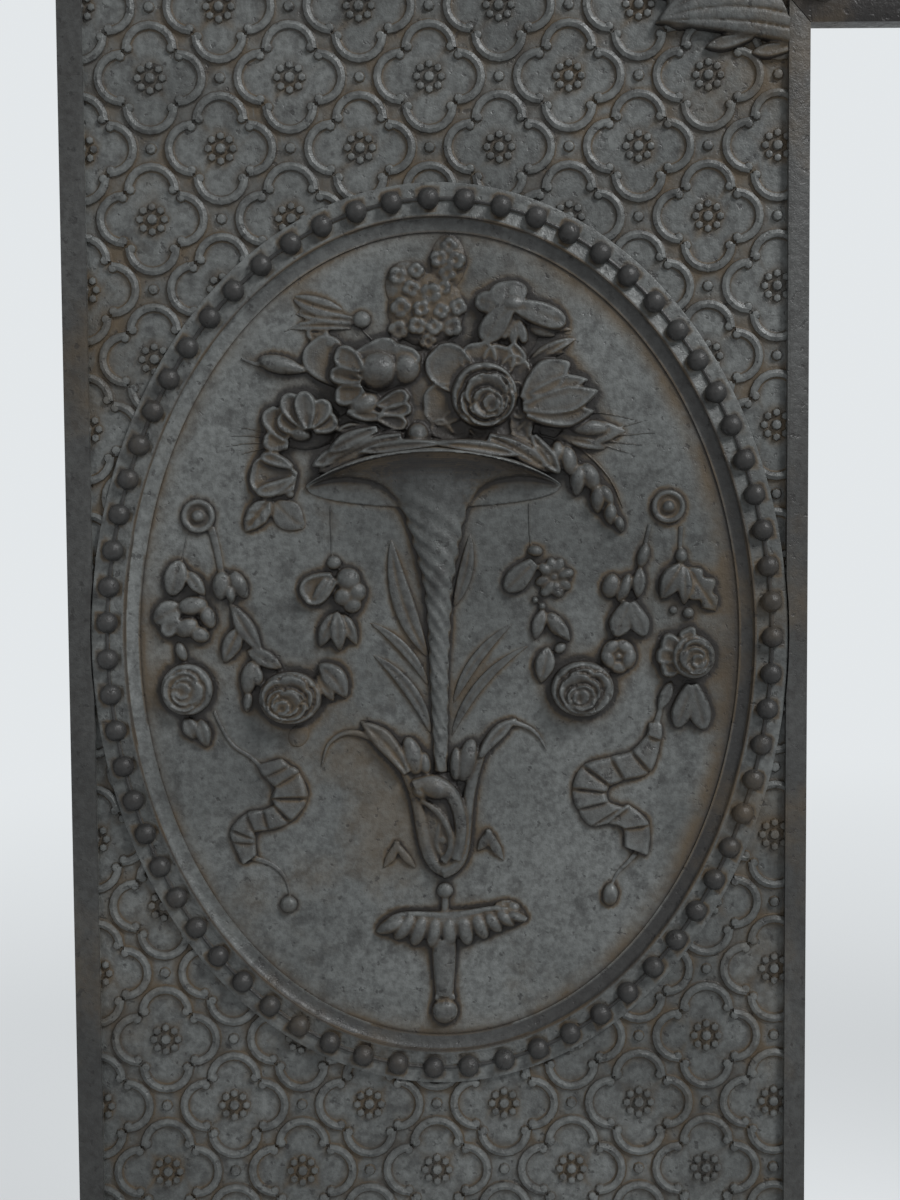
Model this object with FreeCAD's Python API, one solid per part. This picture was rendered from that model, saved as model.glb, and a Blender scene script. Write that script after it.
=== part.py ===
import FreeCAD, Part
import math
import os

# Cast iron fireplace insert in the Louis XVI manner: a mitred front of two jambs
# and a lintel, an oval medallion let into each jamb, and behind the lintel a
# telescoping draught curtain that runs in grooved cheeks.
# X runs across the hearth, Y into the chimney and Z up, in millimetres. The
# origin is on the hearth, at the middle of the insert's width and depth. Depths
# are measured back from the ground of the ornament, the flat face of the plates.

# Front plates
opening_width = 480.0
opening_height = 620.0
jamb_width = 290.0
lintel_height = 290.0
plate_thickness = 8.0
outer_border = 8.8
inner_border = 7.4
border_rise = 3.0
border_fall = 2.0
border_ridge = 1.2
return_depth = 30.0
return_thickness = 7.0
mitre_gap = 0.3

# Oval medallions
medallion_height = 354.0
medallion_drop = 237.0
medallion_play = 0.3
medallion_seat = 4.0
band_width = 13.4
band_rise = 2.2
bead_radius = 4.25
bead_lift = 0.6
bead_inset = 7.2
bead_pitch = 14.1
cove_width = 5.4
cove_foot = 0.2
field_sink = 0.8
stud_radius = 3.0
stud_side_inset = 61.6
stud_end_inset = 72.0
stud_clearance = 0.3
nut_flats = 10.0
nut_thickness = 5.0
stud_tail = 1.5

# Trumpet vase and its ornament, from the middle of the medallion
vase_foot_z = -50.0
vase_rim_z = 58.0
vase_rim_radius = 50.0
vase_tail_radius = 2.8
vase_taper = 5.0
vase_flare_power = 16
vase_steps = 12
vase_proud = 13.0
vase_rim_lift = 13.0
relief_root = 0.6

# Calyx, dish and finial that hang below the vase's foot
calyx_rise = 14.0
calyx_spread = 11.0
calyx_drop = 46.0
scroll_reach = 45.0
scroll_radius = 2.6
loop_radius = 3.0
dish_drop = 54.0
dish_height = 18.0
dish_radius = 29.0
dish_proud = 7.5
knop_radius = 5.0
finial_length = 22.0
finial_radius = 4.5

# Guides, curtain and its box
cheek_setback = 4.0
leaf_lap = 16.0
leaf_side_play = 2.0
cheek_web = 8.0
cheek_flange_width = 30.0
cheek_flange_thickness = 7.0
cheek_depth = 70.0
cheek_head = 12.0
rib_height = 8.0
fin_thickness = 4.0
rear_fin_thickness = 6.0
groove_width = 8.0
leaf_sheet = 2.0
leaf_play = 1.0
leaf_lip = 6.5
lip_side_play = 4.0
curtain_tuck = 45.0
draught_gap = 61.0
catch_clearance = 0.3
stop_bar_thickness = 6.0
stop_bar_height = 20.0
stop_bar_rest = 4.0
back_sheet = 1.5
spring_length = 60.0
spring_width = 8.0
spring_strip = 0.8
spring_foot = 9.0
spring_clearance = 0.3
spring_rivet_radius = 1.5
spring_rivet_head = 0.7

# Pull ring
pull_strap_width = 16.0
pull_strap_thickness = 3.0
pull_strap_up = 34.0
pull_drop = 30.0
pull_lug_thickness = 4.0
pull_lug_radius = 7.0
pull_eye_radius = 3.6
ring_radius = 13.0
ring_wire = 2.5
pull_rivet_radius = 2.5
pull_rivet_head = 1.6

# Fishplates, ties and fasteners
strap_length = 110.0
strap_width = 44.0
strap_thickness = 6.0
strap_bolt_along = 12.0
strap_bolt_out = 38.0
pad_margin = 8.0
bolt_radius = 4.0
bolt_engagement = 11.0
bolt_flats = 13.0
bolt_head = 5.3
bolt_play = 0.5
thread_clearance = 0.1
cheek_bolt_edge = 60.0
lintel_bolt_rise = 100.0
tie_length = 94.0
tie_width = 30.0
tie_thickness = 5.0
tie_foot = 34.0
tie_inset = 15.0
tie_low = 100.0
tie_top_inset = 110.0
tie_hole_radius = 4.5
tie_hole_end = 15.0
screw_radius = 2.0
screw_head_radius = 3.6
screw_head = 2.4
screw_engagement = 5.0
leaf_pin_radius = 2.0

# Corner leaf
leaf_length = 104.0
leaf_width = 88.0
leaf_thickness = 3.0
leaf_crown = 4.0
leaf_border_play = 0.3
leaf_pin_out = 13.0
leaf_pin_along = 16.0
leaf_pin_depth = 3.0

# Places worked out from the driving sizes
half_opening = opening_width / 2
overall_width = opening_width + 2 * jamb_width
overall_height = opening_height + lintel_height
outer_x = -overall_width / 2
inner_x = -half_opening
seat_depth = plate_thickness + rib_height
tie_depth = seat_depth + tie_length
front_proud = vase_proud - field_sink
ground_y = (front_proud - tie_depth) / 2
edge_depth = border_fall - border_rise
field_width = jamb_width - outer_border - inner_border
medallion_x = outer_x + outer_border + field_width / 2
medallion_z = opening_height - medallion_drop
oval_x = field_width / 2 - medallion_play
oval_z = medallion_height / 2
leaf_edge = half_opening + leaf_lap
groove_bottom = leaf_edge + leaf_side_play
web_outer = groove_bottom + cheek_web
flange_outer = web_outer + cheek_flange_width
cheek_top = overall_height - cheek_head
groove_pitch = groove_width + fin_thickness
first_groove = seat_depth + fin_thickness
curtain_rest = opening_height + curtain_tuck
leaf_travel = (curtain_rest - draught_gap) / 3
leaf_height = leaf_travel + 2 * leaf_sheet + catch_clearance
rear_fin_back = first_groove + 3 * groove_pitch - fin_thickness + rear_fin_thickness


def at(x, depth, z):
    return FreeCAD.Vector(x, ground_y + depth, z)


def block(x0, x1, depth0, depth1, z0, z1):
    corner = at(min(x0, x1), depth0, z0)
    return Part.makeBox(abs(x1 - x0), depth1 - depth0, z1 - z0, corner)


def slab(points, depth0, depth1):
    """A plate of straight edges, from its corners in the front view."""
    corners = [at(x, depth0, z) for x, z in points]
    face = Part.Face(Part.makePolygon(corners + corners[:1]))
    return face.extrude(FreeCAD.Vector(0, depth1 - depth0, 0))


def rod(x, z, depth0, depth1, radius):
    return Part.makeCylinder(radius, depth1 - depth0, at(x, depth0, z), FreeCAD.Vector(0, 1, 0))


def hexagon(x, z, depth0, depth1, flats):
    radius = flats / math.sqrt(3)
    angles = [math.radians(60 * i) for i in range(6)]
    points = [(x + radius * math.cos(a), z + radius * math.sin(a)) for a in angles]
    return slab(points, depth0, depth1)


def oval_wire(inset, depth):
    """An oval drawn in from the medallion's edge by the inset."""
    half_x = oval_x - inset
    half_z = oval_z - inset
    side = at(medallion_x + half_x, depth, medallion_z)
    top = at(medallion_x, depth, medallion_z + half_z)
    ends = (top, side) if half_z >= half_x else (side, top)
    return Part.Wire(Part.Ellipse(*ends, at(medallion_x, depth, medallion_z)).toShape())


def oval_plate(inset, depth0, depth1):
    return Part.Face(oval_wire(inset, depth0)).extrude(FreeCAD.Vector(0, depth1 - depth0, 0))


def mirrored(shape):
    return shape.mirror(FreeCAD.Vector(0, 0, 0), FreeCAD.Vector(1, 0, 0))


def save(name, *solids):
    shape = solids[0] if len(solids) == 1 else Part.makeCompound(list(solids))
    shape.exportStep("parts/" + name + ".step")


def save_pair(name, left):
    save(name + "_left", left)
    save(name + "_right", mirrored(left))


def bolt(x, z, under_head, grip):
    """A hexagon bolt put in from behind, with its head against the given depth."""
    shank = rod(x, z, under_head - grip - bolt_engagement, under_head, bolt_radius)
    return shank.fuse(hexagon(x, z, under_head, under_head + bolt_head, bolt_flats))


def bolt_bore(x, z):
    """The tapped blind hole for a bolt, in a rib or pad on the back of a plate."""
    bottom = seat_depth - bolt_engagement - 1
    return rod(x, z, bottom, seat_depth, bolt_radius + thread_clearance)


# Mitre between jamb and lintel: places along it and square to it, from its middle
mitre_length = math.hypot(jamb_width, lintel_height)
along = (-jamb_width / mitre_length, lintel_height / mitre_length)
across = (lintel_height / mitre_length, jamb_width / mitre_length)
mitre_middle = (inner_x - jamb_width / 2, opening_height + lintel_height / 2)


def on_mitre(run, out):
    """A point of the front view, by its run up the mitre and its distance into the lintel."""
    x = mitre_middle[0] + run * along[0] + out * across[0]
    z = mitre_middle[1] + run * along[1] + out * across[1]
    return x, z


def mitre_plate(run0, run1, out0, out1, depth0, depth1):
    corners = [(run0, out0), (run1, out0), (run1, out1), (run0, out1)]
    return slab([on_mitre(*corner) for corner in corners], depth0, depth1)


def mitre_waste(side):
    """What the mitre takes off the jamb, side 1, or off the lintel, side -1."""
    reach = overall_width + overall_height
    outs = sorted((-side * mitre_gap / 2, side * reach))
    return mitre_plate(-reach, reach, *outs, -vase_proud, tie_depth)


strap_places = [
    (run, out)
    for run in (-strap_bolt_along, strap_bolt_along)
    for out in (-strap_bolt_out, strap_bolt_out)
]


def strap_pad(side):
    """The raised pad behind the mitre that a fishplate is bolted to."""
    half_run = strap_width / 2 + pad_margin
    outs = sorted((0, side * (strap_length / 2 + pad_margin)))
    return mitre_plate(-half_run, half_run, *outs, 0, seat_depth)


def plate_with_border(x0, x1, z0, z1, borders):
    """A plate whose edges rise to sloping borders, given as left, right, low and high widths."""
    left, right, low, high = borders

    def frame(inset, depth):
        w = [width + inset if width else 0 for width in (left, right, low, high)]
        corners = [(x0 + w[0], z0 + w[2]), (x1 - w[1], z0 + w[2])]
        corners += [(x1 - w[1], z1 - w[3]), (x0 + w[0], z1 - w[3])]
        points = [at(x, depth, z) for x, z in corners]
        return Part.makePolygon(points + points[:1])

    rim = Part.makePolygon(
        [at(x, edge_depth, z) for x, z in [(x0, z0), (x1, z0), (x1, z1), (x0, z1), (x0, z0)]]
    )
    slope = Part.makeLoft([rim, frame(0, -border_rise)], True, True)
    plate = block(x0, x1, edge_depth, plate_thickness, z0, z1)
    sunk = Part.Face(frame(border_ridge, -border_rise))
    sunk = sunk.extrude(FreeCAD.Vector(0, border_rise, 0))
    return plate.fuse(slope).cut(sunk)


def cheek_bolt_places():
    x = -(web_outer + cheek_flange_width / 2)
    jamb = [cheek_bolt_edge, opening_height / 2, opening_height - cheek_bolt_edge]
    lintel = [opening_height + lintel_bolt_rise, cheek_top - cheek_bolt_edge]
    return [(x, z) for z in jamb], [(x, z) for z in lintel]


def tie_places():
    x = outer_x + tie_inset + tie_foot / 2
    return [(x, tie_low), (x, overall_height - tie_top_inset)]


def stud_places():
    half_across = oval_x - stud_side_inset
    half_height = oval_z - stud_end_inset
    return [
        (medallion_x + i * half_across, medallion_z + j * half_height)
        for i in (-1, 1)
        for j in (-1, 1)
    ]


def corner_leaf_pins():
    """Pin places of a corner leaf: one in the jamb and one in the lintel."""
    run = leaf_pin_along - mitre_length / 2
    return [on_mitre(run, -leaf_pin_out), on_mitre(run, leaf_pin_out)]


def cheek_rib():
    """The cast rib that the cheek's flange is bolted to, on the backs of jamb and lintel."""
    return block(-flange_outer, -web_outer, 0, seat_depth, 0, cheek_top)


def make_jamb():
    above = overall_height + lintel_height
    plate = plate_with_border(
        outer_x, inner_x, 0, above, (outer_border, inner_border, outer_border, 0)
    )
    side = block(outer_x, outer_x + return_thickness, 0, return_depth, 0, above)
    bosses = [
        rod(x, z, 0, seat_depth, tie_width / 2)
        for x, z in tie_places()
    ]
    jamb = plate.fuse([side, cheek_rib(), strap_pad(-1)] + bosses)
    jamb = jamb.cut(mitre_waste(1))
    seat = oval_plate(-medallion_play, -border_rise, medallion_seat)
    holes = [rod(x, z, 0, plate_thickness, stud_radius + stud_clearance) for x, z in stud_places()]
    holes += [bolt_bore(*place) for place in cheek_bolt_places()[0] + tie_places()]
    holes += [bolt_bore(*on_mitre(run, out)) for run, out in strap_places if out < 0]
    holes.append(pin_hole(corner_leaf_pins()[0]))
    return jamb.cut([seat] + holes).removeSplitter()


def pin_hole(place):
    return rod(*place, 0, plate_thickness, leaf_pin_radius + thread_clearance)


def make_lintel():
    plate = plate_with_border(
        outer_x, -outer_x, opening_height, overall_height, (0, 0, inner_border, outer_border)
    )
    top = block(outer_x, -outer_x, 0, return_depth, overall_height - return_thickness, overall_height)
    ribs = [cheek_rib(), strap_pad(1)]
    ribs += [mirrored(rib) for rib in ribs]
    waste = [mitre_waste(-1), mirrored(mitre_waste(-1))]
    lintel = plate.fuse([top] + ribs).cut(waste)
    holes = [bolt_bore(*place) for place in cheek_bolt_places()[1]]
    holes += [bolt_bore(*on_mitre(run, out)) for run, out in strap_places if out > 0]
    holes.append(pin_hole(corner_leaf_pins()[1]))
    holes += [mirrored(hole) for hole in holes]
    return lintel.cut(holes).removeSplitter()


def dome(x, z, radius, proud):
    """A blossom's rounded mass on the medallion's field: the cap of a ball."""
    ball = (radius**2 + proud**2) / (2 * proud)
    centre = at(medallion_x + x, field_sink - proud + ball, medallion_z + z)
    latitude = math.degrees(math.asin((ball - proud - relief_root) / ball))
    return Part.makeSphere(ball, centre, FreeCAD.Vector(0, -1, 0), latitude, 90, 360)


def relief_section(z, half_width, proud, lift):
    """A level cut through a relief: an arc standing out of the field, with its crown lifted."""
    back = field_sink + relief_root
    left = at(medallion_x - half_width, field_sink, medallion_z + z)
    right = at(medallion_x + half_width, field_sink, medallion_z + z)
    crown = at(medallion_x, field_sink - proud, medallion_z + z + lift)
    root_z = medallion_z + z - lift * relief_root / proud
    corner_left = at(medallion_x - half_width, back, root_z)
    corner_right = at(medallion_x + half_width, back, root_z)
    edges = [Part.Arc(left, crown, right), Part.LineSegment(right, corner_right)]
    edges += [Part.LineSegment(corner_right, corner_left), Part.LineSegment(corner_left, left)]
    return Part.Wire([edge.toShape() for edge in edges])


def make_vase():
    """The slender trumpet: a tapering stem that flares at the last into a wide rim."""
    sections = []
    for step in range(vase_steps + 1):
        share = 1 - (step / vase_steps) ** 2
        flare = share**vase_flare_power
        straight = vase_tail_radius + vase_taper * share
        half_width = straight + (vase_rim_radius - vase_tail_radius - vase_taper) * flare
        proud = straight + (vase_proud - vase_tail_radius - vase_taper) * flare
        z = vase_foot_z + share * (vase_rim_z - vase_foot_z)
        sections.append(relief_section(z, half_width, proud, vase_rim_lift * flare))
    return Part.makeLoft(sections, True, True)


def make_foot():
    """The scalloped dish, knop and finial that the vase stands on."""
    shares = [(0, 0.17, 0.67), (0.22, 0.76, 0.87), (0.56, 1, 1), (0.78, 0.86, 0.93), (1, 0.28, 0.8)]
    top = vase_foot_z - dish_drop
    profile = [
        (top - dish_height * drop, dish_radius * width, dish_proud * proud)
        for drop, width, proud in shares
    ]
    low = top - dish_height
    profile.append((low - 0.75 * finial_length, finial_radius, finial_radius))
    profile.append((low - finial_length, finial_radius / 1.5, finial_radius / 1.5))
    dish = Part.makeLoft([relief_section(z, w, p, 0) for z, w, p in profile], True, True)
    knop = dome(0, top + 1.2 * knop_radius, knop_radius, knop_radius)
    return [dish, knop, dome(0, low - finial_length - 0.7 * knop_radius, finial_radius, finial_radius)]


def scroll(points, radius):
    """A rounded stem bent through three points of the front view."""
    places = [at(medallion_x + x, field_sink, medallion_z + z) for x, z in points]
    path = Part.Wire(Part.Arc(*places).toShape())
    start = path.Edges[0]
    ring = Part.Circle(places[0], start.tangentAt(start.FirstParameter), radius)
    return path.makePipeShell([Part.Wire(ring.toShape())], True, False)


def make_bouquet():
    """The main masses of the flowers above the rim, as x, z, radius and height."""
    masses = [
        (17, 95, 19, 7.5),
        (17, 94, 12.5, 10.5),
        (-21, 103, 14.5, 10),
        (-27, 91, 9, 8),
        (47, 95, 12.5, 8.5),
        (-54, 88, 13.5, 8),
        (24, 127, 12, 7),
        (-4, 129, 14, 7),
        (2, 146, 8, 5),
        (-42, 118, 12, 4),
        (-66, 65, 10, 5),
        (57, 68, 9, 5),
        (59, 82, 6, 5),
        (66, 52, 6, 4.5),
        (-5, 84, 14, 7),
    ]
    return [dome(*mass) for mass in masses]


def make_garlands():
    """The roses and flower clusters that hang on each side of the stem, and their pins."""
    masses = [
        (-99, 8, 11, 5),
        (-98.5, -22, 10.5, 7),
        (-58.5, -24, 12, 8),
        (-41, 19, 12, 6),
        (-40, 2, 8, 4),
        (-78, -2, 8, 4),
        (42.5, 23, 11, 5),
        (42, 2, 7.5, 4),
        (56.5, -21, 12.5, 8),
        (70, -8, 8, 4),
        (74, 10, 8, 4),
        (98, 21, 10.5, 4),
        (98, -7, 11.5, 7),
        (-94.5, 46, 6.5, 4),
        (88.8, 50, 6.8, 4),
    ]
    return [dome(*mass) for mass in masses]


def make_calyx():
    """The scrolled leaves and hanging loop where the stem ends."""
    foot = vase_foot_z
    crest = foot + calyx_rise
    end = foot - calyx_drop
    knot = 0.8 * calyx_spread
    pieces = []
    for side in (-1, 1):
        hang = [(side * calyx_spread, foot), (side * calyx_spread, end + calyx_rise), (0, end)]
        curl = [(side * knot / 2, foot), (side * scroll_reach / 2, crest), (side * scroll_reach, foot)]
        pieces += [scroll(hang, loop_radius), scroll(curl, scroll_radius)]
    pieces.append(dome(0, (foot + end) / 2, knot, 0.7 * knot))
    pieces.append(dome(0, foot - knot / 2, knot, 0.7 * knot))
    return pieces


def make_medallion():
    plate = oval_plate(0, -band_rise, medallion_seat)
    drop = cove_foot + band_rise
    turns = [math.radians(30 * i) for i in range(4)]
    cove = [
        oval_wire(band_width + cove_width * (1 - math.cos(turn)), drop * math.sin(turn) - band_rise)
        for turn in turns
    ]
    dish = Part.makeLoft(cove, True, False)
    sunk = oval_plate(band_width + cove_width, -band_rise, field_sink)
    string = oval_wire(bead_inset, -band_rise - bead_lift).Edges[0]
    bead_count = round(string.Length / bead_pitch)
    beads = []
    for i in range(bead_count):
        centre = string.valueAt(string.getParameterByLength(string.Length * i / bead_count))
        beads.append(Part.makeSphere(bead_radius, centre))
    tail = plate_thickness + nut_thickness + stud_tail
    studs = [rod(x, z, medallion_seat, tail, stud_radius) for x, z in stud_places()]
    medallion = plate.cut([dish, sunk]).fuse(beads + studs)
    for relief in (make_calyx(), [make_vase()], make_foot(), make_bouquet(), make_garlands()):
        medallion = medallion.fuse(relief)
    return medallion


def make_nuts():
    bore = stud_radius + thread_clearance
    back = plate_thickness + nut_thickness
    nuts = []
    for x, z in stud_places():
        nut = hexagon(x, z, plate_thickness, back, nut_flats)
        nuts.append(nut.cut(rod(x, z, plate_thickness, back, bore)))
    return nuts


def make_corner_leaf():
    """An acanthus leaf laid on the ground along the mitre, out of the corner of the borders."""
    corner = -mitre_length / 2
    front = -leaf_thickness - leaf_crown
    # Notches and crests of the lobes from the borders to the tip, as shares of length and half width
    lobes = [
        (-0.014, 0.320), (-0.001, 0.468), (0.105, 0.505), (0.142, 0.691), (0.243, 0.759), (0.365, 1.0),
        (0.452, 0.818), (0.558, 0.864), (0.615, 0.636), (0.731, 0.614), (0.788, 0.386), (0.894, 0.273),
    ]
    sides = []
    for side in (1, -1):
        places = [
            on_mitre(corner + leaf_length * run, side * leaf_width / 2 * out) for run, out in lobes + [(1, 0)]
        ]
        points = [at(x, front, z) for x, z in places]
        sides.append([Part.Arc(*points[i : i + 3]).toShape() for i in range(0, len(lobes), 2)])
    bases = [edges[0].Vertexes[0].Point for edges in sides]
    inside = inner_border + border_ridge + leaf_border_play
    inner_corner = at(inner_x - inside, front, opening_height + inside)
    base = [Part.makeLine(inner_corner, point) for point in bases]
    outline = Part.Wire(Part.sortEdges(sides[0] + sides[1] + base)[0])
    blade = Part.Face(outline).extrude(FreeCAD.Vector(0, -front, 0))
    borders = block(
        inner_x - inside, 0, front, 0, opening_height - leaf_width, opening_height + inside
    )
    crown_radius = (leaf_width**2 / 4 + leaf_crown**2) / (2 * leaf_crown)
    spine = on_mitre(corner - leaf_width, 0)
    swell = Part.makeCylinder(
        crown_radius,
        leaf_length + 2 * leaf_width,
        at(spine[0], front + crown_radius, spine[1]),
        FreeCAD.Vector(along[0], 0, along[1]),
    )
    holes = [
        rod(x, z, -leaf_pin_depth, 0, leaf_pin_radius + thread_clearance) for x, z in corner_leaf_pins()
    ]
    return blade.common(swell).cut([borders] + holes)


def make_corner_pins():
    """Pins let into the leaf's back and riveted over, flush, behind the plates."""
    return [rod(x, z, -leaf_pin_depth, plate_thickness, leaf_pin_radius) for x, z in corner_leaf_pins()]


def make_strap():
    strap = mitre_plate(
        -strap_width / 2,
        strap_width / 2,
        -strap_length / 2,
        strap_length / 2,
        seat_depth,
        seat_depth + strap_thickness,
    )
    holes = [
        rod(*on_mitre(*place), seat_depth, seat_depth + strap_thickness, bolt_radius + bolt_play)
        for place in strap_places
    ]
    return strap.cut(holes)


def make_strap_bolts():
    back = seat_depth + strap_thickness
    return [bolt(*on_mitre(*place), back, strap_thickness) for place in strap_places]


def sheet_screw_places():
    x = -(groove_bottom + cheek_web / 2)
    low = stop_bar_top() + stop_bar_height
    high = cheek_top - stop_bar_height
    return [(x, low), (x, (low + high) / 2), (x, high)]


def stop_bar_top():
    return curtain_rest + leaf_height - leaf_travel - leaf_sheet - catch_clearance


def stop_screw_places():
    x = -(half_opening + cheek_setback + groove_bottom) / 2
    return [(x, stop_bar_top() - stop_bar_height / 4), (x, stop_bar_top() - 3 * stop_bar_height / 4)]


def make_cheek():
    inner = -(half_opening + cheek_setback)
    web = block(-groove_bottom, -web_outer, seat_depth, cheek_depth, 0, cheek_top)
    flange_back = seat_depth + cheek_flange_thickness
    flange = block(-groove_bottom, -flange_outer, seat_depth, flange_back, 0, cheek_top)
    fins = []
    for i in range(4):
        front = seat_depth + i * groove_pitch
        back = rear_fin_back if i == 3 else front + fin_thickness
        fins.append(block(inner, -groove_bottom, front, back, 0, cheek_top))
    jamb_bolts, lintel_bolts = cheek_bolt_places()
    holes = [
        rod(x, z, seat_depth, flange_back, bolt_radius + bolt_play)
        for x, z in jamb_bolts + lintel_bolts
    ]
    tapped = screw_radius + thread_clearance
    holes += [
        rod(x, z, cheek_depth - screw_engagement - 1, cheek_depth, tapped)
        for x, z in sheet_screw_places()
    ]
    holes += [
        rod(x, z, rear_fin_back - screw_engagement, rear_fin_back, tapped)
        for x, z in stop_screw_places()
    ]
    return web.fuse([flange] + fins).cut(holes).removeSplitter()


def make_cheek_bolts():
    back = seat_depth + cheek_flange_thickness
    jamb_bolts, lintel_bolts = cheek_bolt_places()
    return [bolt(x, z, back, cheek_flange_thickness) for x, z in jamb_bolts + lintel_bolts]


def leaf_face(order):
    """The depth of a leaf's front face, counted from the front."""
    return first_groove + order * groove_pitch + leaf_play


def spring_places():
    """The lower, riveted foot of each leaf's two friction springs, as x and z."""
    x = (half_opening + cheek_setback + leaf_edge) / 2
    z = curtain_rest + (leaf_height - spring_length) / 2
    return [(-x, z), (x, z)]


def make_leaf(order):
    """A sheet iron leaf with a lip at the top that catches the next leaf's bottom lip."""
    front = leaf_face(order)
    back = front + leaf_sheet
    low = curtain_rest
    high = curtain_rest + leaf_height
    lip_x = half_opening - lip_side_play
    pieces = [block(-leaf_edge, leaf_edge, front, back, low, high)]
    reach = leaf_lip
    if order == 2:
        reach = rear_fin_back + stop_bar_rest - back
    pieces.append(block(-lip_x, lip_x, back, back + reach, high - leaf_sheet, high))
    if order > 0:
        pieces.append(block(-lip_x, lip_x, front - leaf_lip, front, low, low + leaf_sheet))
    leaf = pieces[0].fuse(pieces[1:]).removeSplitter()
    holes = [
        rod(x, z + spring_foot / 2, front, back, spring_rivet_radius + thread_clearance)
        for x, z in spring_places()
    ]
    if order == 0:
        holes += [
            rod(x, z, front, back, pull_rivet_radius + thread_clearance)
            for x, z in pull_rivet_places()
        ]
    return leaf.cut(holes)


def make_springs(order):
    """Bowed strips that press the leaf's edges against the grooves, so that it stays put."""
    face = leaf_face(order) + leaf_sheet
    crest = first_groove + order * groove_pitch + groove_width - spring_clearance
    springs = []
    for x, z in spring_places():
        left = x - spring_width / 2

        def bow(inset):
            foot = at(left, face + spring_strip - inset, z + spring_foot)
            top = at(left, crest - inset, z + spring_length / 2)
            head = at(left, face + spring_strip - inset, z + spring_length - spring_foot)
            return foot, top, head

        outer = bow(0)
        inner = bow(spring_strip)
        start = at(left, face, z)
        start_out = at(left, face + spring_strip, z)
        end = at(left, face, z + spring_length)
        end_out = at(left, face + spring_strip, z + spring_length)
        edges = [
            Part.LineSegment(start_out, outer[0]),
            Part.Arc(*outer),
            Part.LineSegment(outer[2], end_out),
            Part.LineSegment(end_out, end),
            Part.LineSegment(end, inner[2]),
            Part.Arc(*reversed(inner)),
            Part.LineSegment(inner[0], start),
            Part.LineSegment(start, start_out),
        ]
        strip = Part.Face(Part.Wire([edge.toShape() for edge in edges]))
        strip = strip.extrude(FreeCAD.Vector(spring_width, 0, 0))
        hole = rod(
            x, z + spring_foot / 2, face, face + spring_strip, spring_rivet_radius + thread_clearance
        )
        springs.append(strip.cut(hole))
    return springs


def make_spring_rivets(order):
    front = leaf_face(order)
    back = front + leaf_sheet + spring_strip
    rivets = []
    for x, z in spring_places():
        place = (x, z + spring_foot / 2)
        shank = rod(*place, front, back, spring_rivet_radius)
        heads = [
            rod(*place, front - spring_rivet_head, front, 2 * spring_rivet_radius),
            rod(*place, back, back + spring_rivet_head, 2 * spring_rivet_radius),
        ]
        rivets.append(shank.fuse(heads))
    return rivets


def pull_rivet_places():
    return [(0, curtain_rest + pull_strap_up * share) for share in (0.3, 0.75)]


pull_eye_z = curtain_rest - pull_drop
pull_eye_depth = leaf_face(0) - pull_strap_thickness / 2


def make_pull_strap():
    """The strap riveted to the front leaf, drawn down to an eye that the ring hangs in."""
    front = leaf_face(0) - pull_strap_thickness
    half = pull_strap_width / 2
    top = curtain_rest + pull_strap_up
    shoulder = curtain_rest - pull_drop / 4
    half_lug = pull_lug_thickness / 2
    outline = [(-half, top), (half, top), (half, curtain_rest), (half_lug, shoulder)]
    outline += [(-half_lug, shoulder), (-half, curtain_rest)]
    strap = slab(outline, front, leaf_face(0))
    neck = block(
        -half_lug,
        half_lug,
        pull_eye_depth - pull_strap_thickness / 2,
        pull_eye_depth + pull_strap_thickness / 2,
        pull_eye_z,
        shoulder,
    )
    across_x = FreeCAD.Vector(1, 0, 0)
    middle = at(-half_lug, pull_eye_depth, pull_eye_z)
    lug = Part.makeCylinder(pull_lug_radius, pull_lug_thickness, middle, across_x)
    eye = Part.makeCylinder(pull_eye_radius, pull_lug_thickness, middle, across_x)
    holes = [
        rod(x, z, front, leaf_face(0), pull_rivet_radius + thread_clearance)
        for x, z in pull_rivet_places()
    ]
    return strap.fuse([neck, lug]).cut([eye] + holes).removeSplitter()


def make_pull_rivets():
    front = leaf_face(0) - pull_strap_thickness
    back = leaf_face(0) + leaf_sheet
    rivets = []
    for x, z in pull_rivet_places():
        shank = rod(x, z, front, back, pull_rivet_radius)
        heads = [
            rod(x, z, front - pull_rivet_head, front, 1.8 * pull_rivet_radius),
            rod(x, z, back, back + pull_rivet_head, 1.8 * pull_rivet_radius),
        ]
        rivets.append(shank.fuse(heads))
    return rivets


def make_ring():
    centre = at(0, pull_eye_depth, pull_eye_z - ring_radius)
    return Part.makeTorus(ring_radius, ring_wire, centre, FreeCAD.Vector(0, 1, 0))


def make_stop_bar():
    top = stop_bar_top()
    back = rear_fin_back + stop_bar_thickness
    bar = block(-groove_bottom, groove_bottom, rear_fin_back, back, top - stop_bar_height, top)
    places = stop_screw_places()
    places += [(-x, z) for x, z in places]
    return bar.cut([rod(x, z, rear_fin_back, back, screw_radius + bolt_play) for x, z in places])


def screw(x, z, under_head, grip):
    shank = rod(x, z, under_head - grip - screw_engagement + 1, under_head, screw_radius)
    return shank.fuse(rod(x, z, under_head, under_head + screw_head, screw_head_radius))


def make_stop_screws():
    back = rear_fin_back + stop_bar_thickness
    places = stop_screw_places()
    places += [(-x, z) for x, z in places]
    return [screw(x, z, back, stop_bar_thickness) for x, z in places]


def make_box_back():
    back = cheek_depth + back_sheet
    low = stop_bar_top() - stop_bar_height
    sheet = block(-web_outer, web_outer, cheek_depth, back, low, cheek_top)
    places = sheet_screw_places()
    places += [(-x, z) for x, z in places]
    return sheet.cut([rod(x, z, cheek_depth, back, screw_radius + bolt_play) for x, z in places])


def make_box_screws():
    places = sheet_screw_places()
    places += [(-x, z) for x, z in places]
    return [screw(x, z, cheek_depth + back_sheet, back_sheet) for x, z in places]


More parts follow.
